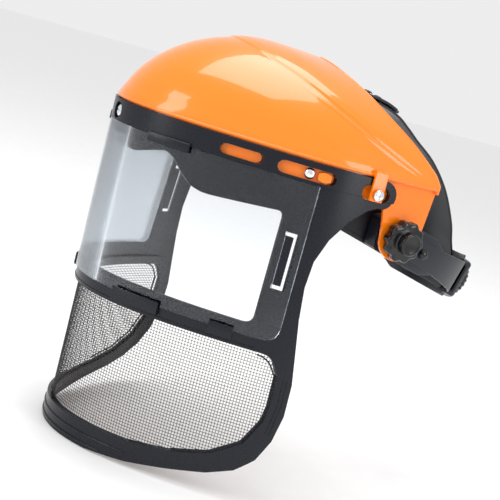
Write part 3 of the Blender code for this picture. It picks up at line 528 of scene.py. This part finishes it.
def tube(points, radius, sides=8, closed=False):
    """Points and faces of a round bead along a path."""
    rings = []
    normal = None
    count = len(points)
    for k, spot in enumerate(points):
        before = points[k - 1] if k or closed else points[0]
        after = points[(k + 1) % count] if k < count - 1 or closed else points[-1]
        along = (after - before).normalized()
        if normal is None:
            normal = along.orthogonal().normalized()
        normal = (normal - along * normal.dot(along)).normalized()
        across = along.cross(normal)
        ring = []
        for n in range(sides):
            turn = 2 * math.pi * n / sides
            ring.append(spot + (normal * math.cos(turn) + across * math.sin(turn)) * radius)
        rings.append(ring)
    return loft(rings, closed)


def gather(parts):
    """Several sets of points and faces as one."""
    verts, faces = [], []
    for more, sides in parts:
        base = len(verts)
        verts += more
        faces += [tuple(i + base for i in f) for f in sides]
    return verts, faces


def prism(name, outline, low, high, axis="X"):
    """A closed outline extruded along an axis, as a cutter."""
    place = {
        "X": lambda a, b, c: (c, a, b),
        "Y": lambda a, b, c: (a, c, b),
    }[axis]
    ring = [[Vector(place(p[0], p[1], c)) for p in outline] for c in (low, high)]
    return piece(name, *loft(ring), None)


def bar(name, spot, axis, radius, reach=0.012, sides=40):
    """A round bar along any axis through a point, as a cutter."""
    return piece(name, *tube([spot - axis * reach, spot + axis * reach], radius, sides), None)


def block(name, low, high):
    """A box between two corners, as a cutter."""
    outline = [(low[1], low[2]), (high[1], low[2]), (high[1], high[2]), (low[1], high[2])]
    return prism(name, outline, low[0], high[0])


def lathe(profile, sides=96, lobes=0, deep=0.0, bore=False, from_r=0.7):
    """Points and faces of a turned shape about Z, scalloped outside a share of its largest radius."""
    largest = max(r for r, _ in profile)
    verts, rings, faces = [], [], []
    for radius, height in profile:
        ring = []
        for k in range(1 if radius <= 0 else sides):
            turn = 2 * math.pi * k / sides
            reach = radius
            if lobes and radius > from_r * largest:
                reach -= deep * (0.5 + 0.5 * math.cos(lobes * turn))
            ring.append(len(verts))
            verts.append(Vector((reach * math.cos(turn), reach * math.sin(turn), height)))
        rings.append(ring)
    pairs = list(zip(rings, rings[1:]))
    if bore:
        pairs.append((rings[-1], rings[0]))
    for one, two in pairs:
        for k in range(sides):
            j = (k + 1) % sides
            face = dict.fromkeys((one[k % len(one)], one[j % len(one)], two[j % len(two)], two[k % len(two)]))
            if len(face) > 2:
                faces.append(tuple(face))
    return verts, faces


def aimed(spot, axis):
    """A placement whose own Z points along an axis."""
    turn = Vector((0, 0, 1)).rotation_difference(Vector(axis)).to_matrix().to_4x4()
    return Matrix.Translation(spot) @ turn


def eased(points, radius=0.0005, steps=3):
    """A turned or swept profile with its corners rounded, its two ends kept."""
    inner = rounded(points, [0] + [radius] * (len(points) - 2) + [0], steps)
    return [tuple(p) for p in inner]


def strip(half, inner, outer, ease=0.0007):
    """A flat strap's section of (up, out) points with round edges."""
    return rounded([(half, outer), (-half, outer), (-half, inner), (half, inner)], ease, 4)


# ---------------------------------------------------------------- the visor wall, seen from the side
def wall_spot(side, y, z, out):
    """The wall's point at a place seen from the side."""
    flat = y / (1 + RECEDE * (z - Z_REF)) if y < 0 else y
    return wall_point(side * wall_param(flat), z, out)


def wall_section(name, p_from, p_to, section, look, columns):
    stations = []
    for i in range(columns + 1):
        p = p_from + (p_to - p_from) * i / columns
        stations.append([wall_point(p, z, out) for out, z in section])
    return piece(name, *loft(stations), look)


def dense(path, step=0.002):
    """A path with points added so that no piece of it is longer than the step."""
    out = []
    for one, two in zip(path, path[1:]):
        a, b = Vector(one), Vector(two)
        count = max(1, math.ceil((b - a).length / step))
        out += [a.lerp(b, k / count) for k in range(count)]
    return out + [Vector(path[-1])]


def wall_bead(path, out, radius):
    """Beads on both sides along a path seen from the side."""
    return [tube([wall_spot(s, y, z, out) for y, z in dense(path)], radius) for s in (1, -1)]


def front_bead(z, p_to, out, radius, count=160):
    """A bead round the front at one height."""
    return tube([wall_point(p_to * (2 * k / count - 1), z, out) for k in range(count + 1)], radius)


REACH = 0.2


def visor_frame():
    low = VISOR_LOW - 0.004
    section = [(0, 0.0008), (BAND, 0.0008), (BAND, BAND_LOW), (SHEET, BAND_LOW), (SHEET, low), (0, low)]
    reach = wall_param(0.0600)
    obj = wall_section("frame_moulding", -reach, reach, section, "frame_black", COLUMNS)
    boolean(obj, prism("keep", frame_outline(), -REACH, REACH), "INTERSECT")
    for outline in [window_outline(), mesh_outline(), latch_gap()] + [obround(*s) for s in SLOTS]:
        boolean(obj, prism("cut", outline, -REACH, REACH))
    boolean(obj, prism("bore", arc(FRONT_SCREW, 0.0022, 0, 350, 35), -0.14, -0.10, "Y"))
    boolean(obj, prism("sink", arc(FRONT_SCREW, 0.0060, 0, 350, 35), -0.14, -WALL_DEPTH - 0.0018, "Y"))
    done(obj, "shield", "frame_black", "visor_frame", degrees=25)
    hooks = []
    for side in (1, -1):
        for p0, p1, far, near, end in CLIPS:
            section = [(CLIP_ROOT, far), (CLIP_OUT, far), (CLIP_OUT, end)]
            section += [(CLIP_IN, end), (CLIP_IN, near), (CLIP_ROOT, near)]
            section = rounded(section, [0, 0.0012, 0.0005, 0.0004, 0.0003, 0], 3)
            stations = []
            for i in range(17):
                p = side * (p0 + (p1 - p0) * i / 16)
                stations.append([wall_point(p, z, out) for out, z in section])
            hooks.append(loft(stations))
    done(piece("film_clips", *gather(hooks), "frame_black"), "shield", "frame_black", degrees=28)
    beads = []
    for z in (-0.2360, -0.2425):
        beads.append(front_bead(z, 0.058 if z > -0.24 else 0.046, SHEET + 0.0001, 0.0008))
    lip = [(y, z) for y, z in mesh_outline(-0.0016)[1:]]
    lip = [(y, z) for y, z in lip if y > -0.0560]
    beads += wall_bead(lip, SHEET, 0.0006)
    for back in (0.0028, 0.0056):
        line = [(back + 0.0003, -0.1520), (back + 0.0010, -0.1700), (back - 0.0022, -0.1920)]
        beads += wall_bead(line, SHEET, 0.0005)
    beads.append(front_bead(MESH_TOP + 0.0022, 0.0950, SHEET, 0.0006))
    done(piece("frame_ribs", *gather(beads), "frame_black"), "shield", "frame_black", degrees=60)


def clear_window():
    reach = wall_param(0.0600)
    edge = [(FILM_IN, FILM_TOP), (FILM_IN + FILM, FILM_TOP), (FILM_IN + FILM, FILM_LOW), (FILM_IN, FILM_LOW)]
    obj = wall_section("clear_sheet", -reach, reach, edge, "clear_film", COLUMNS)
    rear = FILM_REAR - 0.0002
    low = FILM_LOW + 0.0002
    outline = rounded([(-0.16, 0.02), (rear, 0.02), (rear, low), (-0.16, low)], [0, 0, 0.012, 0], 8)
    boolean(obj, prism("keep", outline, -REACH, REACH), "INTERSECT")
    y0, y1, z0, z1 = LATCH
    boolean(obj, prism("slot", rounded([(y0, z0), (y1, z0), (y1, z1), (y0, z1)], 0.0015, 4), -REACH, REACH))
    done(obj, "shield", "clear_film", "clear_window", degrees=25)


# ---------------------------------------------------------------- the woven wire
def inside(spot, outline):
    """Whether a point seen from the side lies inside an outline."""
    y, z = spot
    odd = False
    for (y0, z0), (y1, z1) in zip(outline, outline[1:] + outline[:1]):
        if (z0 > z) != (z1 > z) and y < (y1 - y0) * (z - z0) / (z1 - z0) + y0:
            odd = not odd
    return odd


def wire_mesh():
    outline = [tuple(v) for v in mesh_outline(0.0045)]
    pitch = 0.00215
    reach = wall_param(0.0200)
    samples = 900
    plan = [reach * (2 * k / samples - 1) for k in range(samples + 1)]
    run = [0.0]
    for p0, p1 in zip(plan, plan[1:]):
        run.append(run[-1] + (wall_point(p1, -0.18) - wall_point(p0, -0.18)).length)
    wide = math.floor(run[-1] / pitch)
    lines = np.interp([(n + 0.5) * pitch for n in range(wide)], run, plan)
    rows = [MESH_TOP + 0.0040 - pitch * n for n in range(math.ceil(0.100 / pitch))]
    middle = -0.00105
    sway = 0.00012
    wires = []

    def string(spots):
        stretch = []
        for spot in spots + [None]:
            keep = False
            if spot:
                at = wall_point(spot[0], spot[1], spot[2])
                keep = inside((at.y, at.z), outline)
            if keep:
                stretch.append(at)
            else:
                if len(stretch) > 2:
                    wires.append(tube(stretch, 0.00019, 4))
                stretch = []

    for n, p in enumerate(lines):
        path = []
        for m in range(len(rows) * 2 - 1):
            z = rows[0] - pitch * m / 2
            out = middle + (sway * (1 if (m // 2 + n) % 2 else -1) if m % 2 == 0 else 0)
            path.append((p, z, out))
        string(path)
    for m, z in enumerate(rows):
        path = []
        for n in range(len(lines) * 2 - 1):
            p = lines[n // 2] if n % 2 == 0 else (lines[n // 2] + lines[n // 2 + 1]) / 2
            out = middle + (sway * (-1 if (m + n // 2) % 2 else 1) if n % 2 == 0 else 0)
            path.append((p, z, out))
        string(path)
    done(piece("woven_wire", *gather(wires), "mesh_steel"), "shield", "mesh_steel", "wire_mesh", degrees=91)


def mesh_clamp():
    reach = wall_param(0.0600)
    inner = -0.0031
    edge = [(inner, -0.1299), (-0.0016, -0.1299), (-0.0016, -0.2380), (inner, -0.2380)]
    obj = wall_section("clamp_frame", -reach, reach, edge, "frame_black", COLUMNS)
    boolean(obj, prism("keep", mesh_outline(0.0066), -REACH, REACH), "INTERSECT")
    boolean(obj, prism("cut", mesh_outline(0.0006), -REACH, REACH))
    done(obj, "shield", "frame_black", "mesh_clamp", degrees=25)


# ---------------------------------------------------------------- the brow guard
def guard_ring(out, z, rear_out, count, steps):
    reach = wall_param(0.0950)
    ring = [wall_point(reach * (2 * k / count - 1), z, out) for k in range(count + 1)]
    tail = ring[-1]
    for k in range(1, steps):
        turn = math.pi * k / steps
        ring.append(Vector((tail.x * math.cos(turn), tail.y + (0.100 + rear_out) * math.sin(turn), z)))
    return ring


def guard_keep():
    ear = [(0.0445, SKIRT_LOW), (0.0480, -0.0330)]
    ear += arc((PIVOT_Y, PIVOT_Z), 0.0165, 200, 340, 24)
    ear += [(0.0840, -0.0280), (0.0865, -0.0030)]
    rear = [(0.0870, -0.0010), *REAR_EDGE, (0.0080, 0.0800)]
    return [(-0.15, SKIRT_LOW)] + ear + rear + [(-0.15, 0.0800)]


FOLD_A = (  # (y, z) of the collar's front edge, seen from the side
    (-0.0900, 0.0815),
    (-0.0524, 0.0643),
    (-0.0238, 0.0520),
    (0.0003, 0.0393),
    (0.0294, 0.0256),
    (0.0559, 0.0146),
    (0.0872, 0.0020),
)
FOLD_B = (  # (y, z) of the ridge below it
    (-0.1200, 0.0920),
    (-0.0088, 0.0396),
    (0.0065, 0.0323),
    (0.0248, 0.0241),
    (0.0468, 0.0155),
    (0.0657, 0.0090),
    (0.0872, 0.0010),
)
REAR_EDGE = (  # (y, z) from the tail up to the crown
    (0.0872, 0.0050),
    (0.0820, 0.0120),
    (0.0600, 0.0300),
    (0.0453, 0.0405),
    (0.0300, 0.0535),
    (0.0136, 0.0670),
)


def ramp(value, low, high):
    t = min(max((value - low) / (high - low), 0.0), 1.0)
    return t * t * (3 - 2 * t)


def fold(y, z):
    """How far the shell's surface is pressed in: flush on the collar, deeper ahead of its edge."""
    above = z - np.interp(y, [p[0] for p in FOLD_A], [p[1] for p in FOLD_A])
    below = z - np.interp(y, [p[0] for p in FOLD_B], [p[1] for p in FOLD_B])
    press = 0.0012 - 0.0008 * ramp(above, -0.0006, 0.0010) - 0.0004 * ramp(above, 0.0010, 0.0062)
    ridge = 0.0007 * math.exp(-((below / 0.0011) ** 2)) * ramp(y, -0.030, 0.000)
    return (press - ridge) * ramp(z, 0.0030, 0.0140)


def brow_guard():
    centre = Vector((0.0, DOME_CENTRE_Y, 0.0))
    count, steps, levels = ((340, 90, 190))
    rim = guard_ring(RIM_OUT, 0.0, 0.0, count, steps)
    rows = [guard_ring(-0.0004, z, -0.003, count, steps) for z in (-0.0560, RIM_Z)]
    for level in range(levels):
        turn = math.pi / 2 * level / levels
        share = math.cos(turn)
        height = RIM_Z + DOME_TOP * math.sin(turn) ** (2 * DOME_POWER)
        rows.append([Vector((*(centre + (spot - centre) * share).xy, height)) for spot in rim])
    verts = [v for row in rows for v in row] + [Vector((centre.x, centre.y, RIM_Z + DOME_TOP))]
    wide = len(rim)
    faces = []
    for i in range(len(rows) - 1):
        for k in range(wide):
            j = (k + 1) % wide
            faces.append((i * wide + k, i * wide + j, (i + 1) * wide + j, (i + 1) * wide + k))
    for k in range(wide):
        faces.append(((len(rows) - 1) * wide + k, (len(rows) - 1) * wide + (k + 1) % wide, len(verts) - 1))
    obj = piece("guard_shell", verts, faces, "guard_orange")
    work = bmesh.new()
    work.from_mesh(obj.data)
    work.normal_update()
    for vert in work.verts:
        spot = vert.co + ORIGIN
        if spot.z > 0.0030:
            outward = vert.normal if vert.normal.dot(spot - centre) > 0 else -vert.normal
            vert.co -= outward * fold(spot.y, spot.z)
    work.to_mesh(obj.data)
    work.free()
    wall = obj.modifiers.new("wall", "SOLIDIFY")
    wall.thickness = GUARD
    wall.offset = -1.0
    wall.use_even_offset = True
    settle(obj)
    boolean(obj, prism("keep", guard_keep(), -REACH, REACH), "INTERSECT")
    for side in (1, -1):
        boolean(obj, bar("bore", Vector((side * 0.105, PIVOT_Y, PIVOT_Z)), Vector((1, 0, 0)), 0.0033))
    done(obj, "shield", "guard_orange", "brow_guard", degrees=38)

    parts = [tube([wall_point(p, 0.0022, 0.0021) for p in np.linspace(-0.198, 0.198, 260)], 0.0011, 10)]
    edge = []
    for y, z in dense([(0.0868, -0.0010), *REAR_EDGE], 0.0015):
        lift = min(max((z - RIM_Z) / DOME_TOP, 0.0), 1.0)
        share = math.sqrt(max(1 - lift ** (1 / DOME_POWER), 0.0))
        slice_ = [centre + (spot - centre) * share for spot in rim[count // 2 : count + 1 + steps // 2]]
        near = [v for v in zip(slice_, slice_[1:]) if (v[0].y - y) * (v[1].y - y) <= 0]
        if not near:
            continue
        one, two = near[0]
        t = (y - one.y) / (two.y - one.y) if abs(two.y - one.y) > 1e-9 else 0.0
        edge.append(Vector((one.x + (two.x - one.x) * t - 0.0006, y - 0.0005, z - 0.0004)))
    for side in (1, -1):
        parts.append(tube([Vector((side * v.x, v.y, v.z)) for v in edge], 0.0011, 10))
    done(piece("guard_beads", *gather(parts), "guard_orange"), "shield", "guard_orange", degrees=60)

    parts = []
    for side in (1, -1):
        far = 0.0066
        low = LUG[1] - 0.0050
        section = [(0.0012, 0.0058), (far, 0.0058), (far, low)]
        section += [(0.0046, low), (0.0046, 0.0014), (0.0012, 0.0014)]
        section = rounded(section, [0, 0.0015, 0.0007, 0.0004, 0.0004, 0], 4)
        stations = []
        for k in range(13):
            p = side * (wall_param(LUG[0] - 0.0050) + 0.0100 * k / 12)
            stations.append([wall_point(p, z, out) for out, z in section])
        parts.append(loft(stations))
        block = [(0.0034, -0.0050), (0.0034, -0.0120), (-0.0010, -0.0120), (-0.0010, -0.0050)]
        block = rounded(block, [0.0006, 0.0006, 0, 0], 3)
        stations = []
        for k in range(11):
            y = -0.0112 + 0.0085 * k / 10
            inset = 0.0030 * (1 - math.sqrt(max(1 - ((k - 5) / 5.6) ** 2, 0)))
            ring = []
            for out, z in block:
                tall = (z - STUD[1]) * (1 - inset / 0.0035 * 0.9)
                ring.append(wall_point(side * wall_param(y), STUD[1] + tall, out))
            stations.append(ring)
        parts.append(loft(stations))
    done(piece("guard_lugs", *gather(parts), "guard_orange"), "shield", "guard_orange", degrees=32)


# ---------------------------------------------------------------- screws and studs
def screw(name, node, spot, axis, body, length, head_r, high, dome, look="screw_chrome"):
    profile = [(0, high), (head_r * 0.35, high), (head_r * 0.72, high - dome * 0.3)]
    profile += [(head_r, high - dome), (head_r, 0), (0.0019, 0)]
    profile = eased(profile, 0.0003)
    profile += [(0.0019, -length), (0, -length)]
    obj = piece(name, *lathe(profile, 64), look, aimed(spot, axis))
    low = high - 0.0009
    groove = ((-0.0005, low), (0.0005, low), (0.0005, 0.02), (-0.0005, 0.02))
    ends = [[Vector((x, y, z)) for y, z in groove] for x in (-0.02, 0.02)]
    boolean(obj, piece("slot", *loft(ends), None, aimed(spot, axis)))
    done(obj, body, look, node, degrees=30)


def stud_seat(side):
    p = side * wall_param(STUD[0])
    spot = wall_point(p, STUD[1], 0.0)
    return spot, (wall_point(p, STUD[1], 0.001) - spot).normalized()


def fasteners():
    front = Vector((0.0, -WALL_DEPTH - 0.0018 - 0.0003, FRONT_SCREW[1]))
    screw("front_slotted_screw", "front_screw", front, (0, -1, 0), "shield", 0.0085, 0.0042, 0.0019, 0.0005)
    for side, label in ((1, "left"), (-1, "right")):
        lug_x = side * (side_half_width(LUG[0]) + 0.0069)
        spot = Vector((lug_x, *LUG))
        sizes = (0.0130, 0.0040, 0.0022, 0.0008)
        screw(f"{label}_lug_slotted_screw", f"{label}_lug_screw", spot, (side, 0, 0), "shield", *sizes)
        seat, lean = stud_seat(side)
        profile = [(0, 0.0021), (0.0010, 0.00206), (0.0020, 0.0019), (0.0028, 0.0016), (0.0034, 0.0011)]
        profile += [(0.0037, 0.0006), (0.0039, 0.0), (0.0019, 0.0), (0.0019, -0.0060), (0, -0.0060)]
        move = aimed(seat + lean * 0.0010, lean)
        obj = piece(f"{label}_dome_stud", *lathe(profile, 64), "screw_chrome", move)
        done(obj, "shield", "screw_chrome", f"{label}_band_stud")


def tilt_knobs():
    for side, label in ((1, "left"), (-1, "right")):
        deep, large, cap = 0.0085, 0.0153, 0.0080
        top = deep + 0.0070
        rim = top - 0.0008
        profile = [(0, rim), (cap - 0.0022, rim), (cap - 0.0016, top), (cap - 0.0007, top), (cap, rim)]
        profile += [(cap, deep + 0.0006), (cap + 0.0006, deep), (large - 0.0022, deep)]
        profile += [(large - 0.0007, deep - 0.0005), (large, deep - 0.0014), (large, 0.0010)]
        profile += [(large - 0.0010, 0), (0.0064, 0), (0.0064, 0.0048), (0.0036, 0.0048)]
        profile += [(0.0036, 0.0120), (0, 0.0120)]
        shape = lathe(eased(profile, 0.0003, 2), 240, 10, 0.0016)
        move = aimed(Vector((side * EAR_OUT, PIVOT_Y, PIVOT_Z)), (side, 0, 0))
        obj = piece(f"{label}_scalloped_knob", *shape, "knob_black", move)
        done(obj, f"{label}_knob", "knob_black", f"{label}_tilt_knob", degrees=30)


# ---------------------------------------------------------------- headgear
def headband():
    stations = []
    columns = COLUMNS
    for k in range(columns + 1):
        turn = -112.0 + 224.0 * k / columns
        half = BAND_HALF - 0.004 * ramp(abs(turn), 104, 113)
        stations.append([head_point(turn, up, out) for up, out in strip(half, 0, STRAP)])
    obj = piece("brow_band", *loft(stations), "strap_black")
    done(obj, "headgear", "strap_black", "headband", degrees=50)
    ribs = []
    for up in (BAND_HALF - 0.0030, 0.0030 - BAND_HALF):
        path = [head_point(-100 + 200 * k / 120, up, STRAP) for k in range(121)]
        ribs.append(tube(path, 0.00035, 6))
    done(piece("brow_band_ribs", *gather(ribs), "strap_black"), "headgear", "strap_black", degrees=60)


def side_path(side):
    """Stations of a side strap's middle line: round the temple, then on to the cradle's outer face."""
    spots = []
    for k in range(31):
        turn = 90.0 + 45.0 * k / 30
        base = head_point(side * turn, 0, 0.0032)
        spots.append((base, (head_point(side * turn, 0, 0.0042) - base).normalized(), turn))
    for k in range(13):
        turn = 45.0 - 7.0 * k / 12
        base = rear_point(side * turn, 0, 0.0034)
        spots.append((base, (rear_point(side * turn, 0, 0.0044) - base).normalized(), 140.0 + k))
    return spots


def side_straps():
    for side, label in ((1, "left"), (-1, "right")):
        stations = []
        spots = side_path(side)
        for base, lean, turn in spots:
            half = 0.0095 + 0.0045 * ramp(turn, 100, 150)
            section = strip(half, -0.0009, 0.0009)
            stations.append([base + UP * up + lean * out for up, out in section])
        obj = piece(f"{label}_rear_strap", *loft(stations), "strap_black")
        soften(obj, 50)
        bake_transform(obj)
        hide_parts(f"{label}_side_strap")
        rivet = head_point(101.0, 0, 0)
        spot = Vector((side * (abs(rivet.x) + 0.0020), rivet.y, rivet.z))
        profile = [(0, 0.0058), (0.0016, 0.0057), (0.0026, 0.0053), (0.0034, 0.0046), (0.0036, 0.0042)]
        profile += [(0.0036, 0.0040), (0.0019, 0.0040), (0.0019, -0.0036), (0.0034, -0.0036)]
        profile += [(0.0034, -0.0048), (0, -0.0048)]
        obj = piece(f"{label}_round_rivet", *lathe(profile, 48), "knob_black", aimed(spot, (side, 0, 0)))
        done(obj, "headgear", "knob_black", f"{label}_strap_rivet")


def smooth_path(points, count):
    """A Catmull-Rom path through (y, z) points."""
    pts = [Vector(p) for p in points]
    pts = [pts[0] * 2 - pts[1]] + pts + [pts[-1] * 2 - pts[-2]]
    out = []
    pieces = len(pts) - 3
    for k in range(count + 1):
        t = pieces * k / count
        i = min(int(t), pieces - 1)
        f = t - i
        a, b, c, d = pts[i : i + 4]
        square = a * 2 - b * 5 + c * 4 - d
        cube = b * 3 - a - c * 3 + d
        out.append((b * 2 + (c - a) * f + square * f * f + cube * f**3) / 2)
    return out


def strap_along(name, path, half, thick):
    stations = []
    for k, spot in enumerate(path):
        lie = (path[min(k + 1, len(path) - 1)] - path[max(k - 1, 0)]).normalized()
        out = Vector((0, -lie.y, lie.x))
        base = Vector((0, spot.x, spot.y))
        width = half(k / (len(path) - 1)) if callable(half) else half
        section = strip(width, -thick / 2, thick / 2)
        stations.append([base + Vector((up, 0, 0)) + out * o for up, o in section])
    return piece(name, *loft(stations), "strap_black")


def crown_spot(path, y):
    near = min(range(1, len(path) - 1), key=lambda k: abs(path[k].x - y))
    lie = (path[near + 1] - path[near - 1]).normalized()
    return Vector((0, path[near].x, path[near].y)), Vector((0, -lie.y, lie.x))


def crown_straps():
    front = smooth_path(CROWN_FRONT, 120)
    rear = smooth_path(list(CROWN_REAR) + [(0.1868, -0.0600), (0.1900, -0.0685)], 150)
    ahead = strap_along("crown_strap_forward", front, lambda t: 0.0225 - 0.0040 * ramp(t, 0.955, 1.0), STRAP)
    for y in (0.0500, 0.0610):
        spot, lean = crown_spot(front, y)
        boolean(ahead, bar("hole", spot, lean, 0.0017))
    for x in (-0.0125, 0.0125):
        boolean(ahead, block("short_slot", (x - 0.0011, 0.0505, 0.040), (x + 0.0011, 0.0610, 0.060)))
    boolean(ahead, block("slit", (-0.0165, 0.0868, 0.030), (0.0165, 0.0888, 0.060)))
    done(ahead, "headgear", "strap_black", "crown_strap_front", degrees=50)
    narrows = lambda t: 0.0215 - 0.0035 * ramp(t, 0.80, 0.97)
    back = strap_along("crown_strap_back", rear, narrows, STRAP * 0.92)
    soften(back, 50)
    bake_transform(back)
    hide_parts("crown_strap_rear")
    for label, y in (("front", 0.0715), ("rear", 0.0820)):
        spot, lean = crown_spot(front, y)
        profile = [(0, 0.0036), (0.0020, 0.00355), (0.0032, 0.0032), (0.0040, 0.0026), (0.0042, 0.0022)]
        profile += [(0.0019, 0.0022), (0.0019, -0.0048), (0.0030, -0.0048), (0.0030, -0.0058), (0, -0.0060)]
        obj = piece(f"{label}_round_peg", *lathe(profile, 48), "knob_black", aimed(spot, lean))
        done(obj, "headgear", "knob_black", f"{label}_crown_peg")


def pad(name, node, body, place, start, end, half, inner, outer, columns):
    """A foam pad: a closed strip, filled out by a short pressure run, then smoothed."""
    stations = []
    for k in range(columns + 1):
        turn = start + (end - start) * k / columns
        thin = 1 - 0.25 * (abs(2 * k / columns - 1) ** 8)
        section = strip(half * (0.94 + 0.06 * thin), outer + (inner - outer) * thin, outer, 0.0020)
        stations.append([place(turn, up, out) for up, out in section])
    obj = piece(name, *loft(stations), "pad_foam")
    remesh = obj.modifiers.new("even", "REMESH")
    remesh.mode = "VOXEL"
    remesh.voxel_size = 0.0040
    settle(obj)
    rest = [v.co.copy() for v in obj.data.vertices]
    cloth = obj.modifiers.new("fill", "CLOTH")
    cloth.settings.use_pressure = True
    cloth.settings.uniform_pressure_force = 4.0
    cloth.settings.effector_weights.gravity = 0.0
    cloth.settings.quality = 5
    cloth.point_cache.frame_start = 1
    cloth.point_cache.frame_end = 20
    scene = bpy.context.scene
    for step in range(1, 21):
        scene.frame_set(step)
    settle(obj)
    scene.frame_set(1)
    for vert, was in zip(obj.data.vertices, rest):
        move = vert.co - was
        if move.length > 0.0008:
            vert.co = was + move.normalized() * 0.0008
    smooth = obj.modifiers.new("smooth", "SUBSURF")
    smooth.levels = smooth.render_levels = 1
    settle(obj)
    obj.data.materials.clear()
    obj.data.materials.append(LOOKS["pad_foam"])
    done(obj, body, "pad_foam", node, degrees=80)


# ---------------------------------------------------------------- cradle and ratchet
def rear_strip(start, end, section_at, columns):
    stations = []
    for k in range(columns + 1):
        turn = start + (end - start) * k / columns
        stations.append([rear_point(turn, up, out) for up, out in section_at(turn)])
    return loft(stations)


def cradle():
    shape = rear_strip(-42, 42, lambda t: strip(0.0190 - 0.0035 * ramp(abs(t), 34, 42), 0.0003, 0.0023), 90)
    done(piece("cradle_band", *shape, "strap_black"), "cradle", "strap_black", "rear_cradle", degrees=50)

    def cover_at(turn):
        taper = min(abs(turn) / 36, 1.0)
        tall = 0.0180 - 0.0030 * taper**2 - 0.0020 * ramp(abs(turn), 33.5, 36.0)
        deep = 0.0138 - 0.0045 * taper**2 - 0.0015 * ramp(abs(turn), 33.5, 36.0)
        wall = 0.0018
        points = [(tall, 0.0026), (tall, deep), (-tall, deep), (-tall, 0.0026)]
        high, far = tall - wall, deep - wall
        points += [(-high, 0.0026), (-high, far), (high, far), (high, 0.0026)]
        return rounded(points, [0, 0.0030, 0.0030, 0, 0, 0.0010, 0.0010, 0], 6)

    cover = piece("ratchet_housing", *rear_strip(-36, 36, cover_at, 90), "strap_black")
    spot = rear_point(0, 0, 0.0200)
    boolean(cover, bar("bore", spot, BACK, 0.0048, 0.011))
    done(cover, "cradle", "strap_black", "ratchet_cover", degrees=40)
    turn = Matrix((Vector((1, 0, 0)), UP, BACK)).transposed()
    if turn.determinant() < 0:
        turn = Matrix((Vector((-1, 0, 0)), UP, BACK)).transposed()
    deep, large = 0.0110, 0.0175
    profile = [(large - 0.0035, deep), (large - 0.0010, deep - 0.0015), (large, deep - 0.0035)]
    profile += [(large, 0.0008), (large - 0.0008, 0), (0.0047, 0)]
    profile += [(0.0047, deep - 0.0020), (0.0060, deep - 0.0020), (0.0060, deep)]
    profile = rounded(profile, 0.0004, 3)
    move = Matrix.Translation(rear_point(0, 0, 0.0142)) @ turn.to_4x4()
    knob = piece("ribbed_knob", *lathe(profile, 288, 24, 0.0009, bore=True), "knob_black", move)
    done(knob, "ratchet", "knob_black", "ratchet_knob", degrees=35)


# ---------------------------------------------------------------- the object
visor_frame()
clear_window()
wire_mesh()
mesh_clamp()
brow_guard()
fasteners()
tilt_knobs()
headband()
side_straps()
crown_straps()
pad("brow_pad", "forehead_pad", "headgear", head_point, -58, 58, 0.0160, -0.0060, -0.0003, 60)
pad("nape_cushion", "nape_pad", "cradle", rear_point, -33, 33, 0.0150, -0.0060, -0.0003, 40)
cradle()

SLOT_OF = {
    "nut": "bolt_steel",
    "bolt": "bolt_steel",
    "retainer": "bolt_steel",
    "ratchet_screw": "bolt_steel",
    "washer": "washer_nylon",
    "pinion": "washer_nylon",
    "pawl": "washer_nylon",
    "click_ring": "washer_nylon",
}
for node in list(bpy.data.objects):
    if "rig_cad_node" in node and not node.hide_render and node.type == "MESH":
        kind = next((look for word, look in SLOT_OF.items() if word in node.name), "strap_black")
        node.data.materials.clear()
        node.data.materials.append(LOOKS[kind])


# ---------------------------------------------------------------- floor, light and camera
def floor():
    size = 6.0
    level = CAD_BOX[0][2]
    corners = ((-size, -size), (size, -size), (size, size), (-size, size))
    verts = [Vector((x, y, level)) + ORIGIN for x, y in corners]
    obj = piece("floor", verts, [(0, 1, 2, 3)], None)
    obj.data.materials.append(finish("floor_pale", (0.93, 0.93, 0.93), 0.6, grain=0.004, scale=40, bump=0.01))


def softbox(name, spot, aim, wide, tall, watts):
    light = bpy.data.lights.new(name, "AREA")
    light.shape = "RECTANGLE"
    light.size = wide
    light.size_y = tall
    light.energy = watts
    obj = bpy.data.objects.new(name, light)
    obj.location = spot
    obj.rotation_euler = (Vector(aim) - Vector(spot)).to_track_quat("-Z", "Y").to_euler()
    bpy.context.scene.collection.objects.link(obj)


floor()
softbox("top_box", (-0.10, -0.10, 1.30), (0, -0.04, 0), 1.0, 0.7, 11)
softbox("front_box", (0.30, -1.35, 0.45), (0, -0.05, -0.05), 0.35, 1.1, 6)
softbox("side_box", (1.3, 0.55, 0.45), (0, 0, -0.03), 0.5, 0.9, 6)
world = bpy.data.worlds.new("studio")
bpy.context.scene.world = world
world.use_nodes = True
world.node_tree.nodes["Background"].inputs["Color"].default_value = (1, 1, 1, 1)
world.node_tree.nodes["Background"].inputs["Strength"].default_value = 0.85

azimuth, elevation, roll = (math.radians(a) for a in (60.0, 10.0, 17.0))
across = Vector((math.cos(azimuth), math.sin(azimuth), 0))
ahead = Vector((math.sin(azimuth), -math.cos(azimuth), 0))
away = ahead * math.cos(elevation) + Vector((0, 0, math.sin(elevation)))
up = ahead * -math.sin(elevation) + Vector((0, 0, math.cos(elevation)))
right = across * math.cos(roll) + up * math.sin(roll)
top = up * math.cos(roll) - across * math.sin(roll)
camera = bpy.data.objects.new("camera", bpy.data.cameras.new("camera"))
bpy.context.scene.collection.objects.link(camera)
axes = Matrix((right, top, away)).transposed()
camera.matrix_world = Matrix.Translation(Vector((0, -0.07206, -0.0452)) + away * 0.95) @ axes.to_4x4()
camera.data.lens = 88.9
camera.data.sensor_width = 36.0
camera.data.dof.use_dof = False
bpy.context.scene.camera = camera
bpy.context.scene.view_settings.view_transform = "Standard"
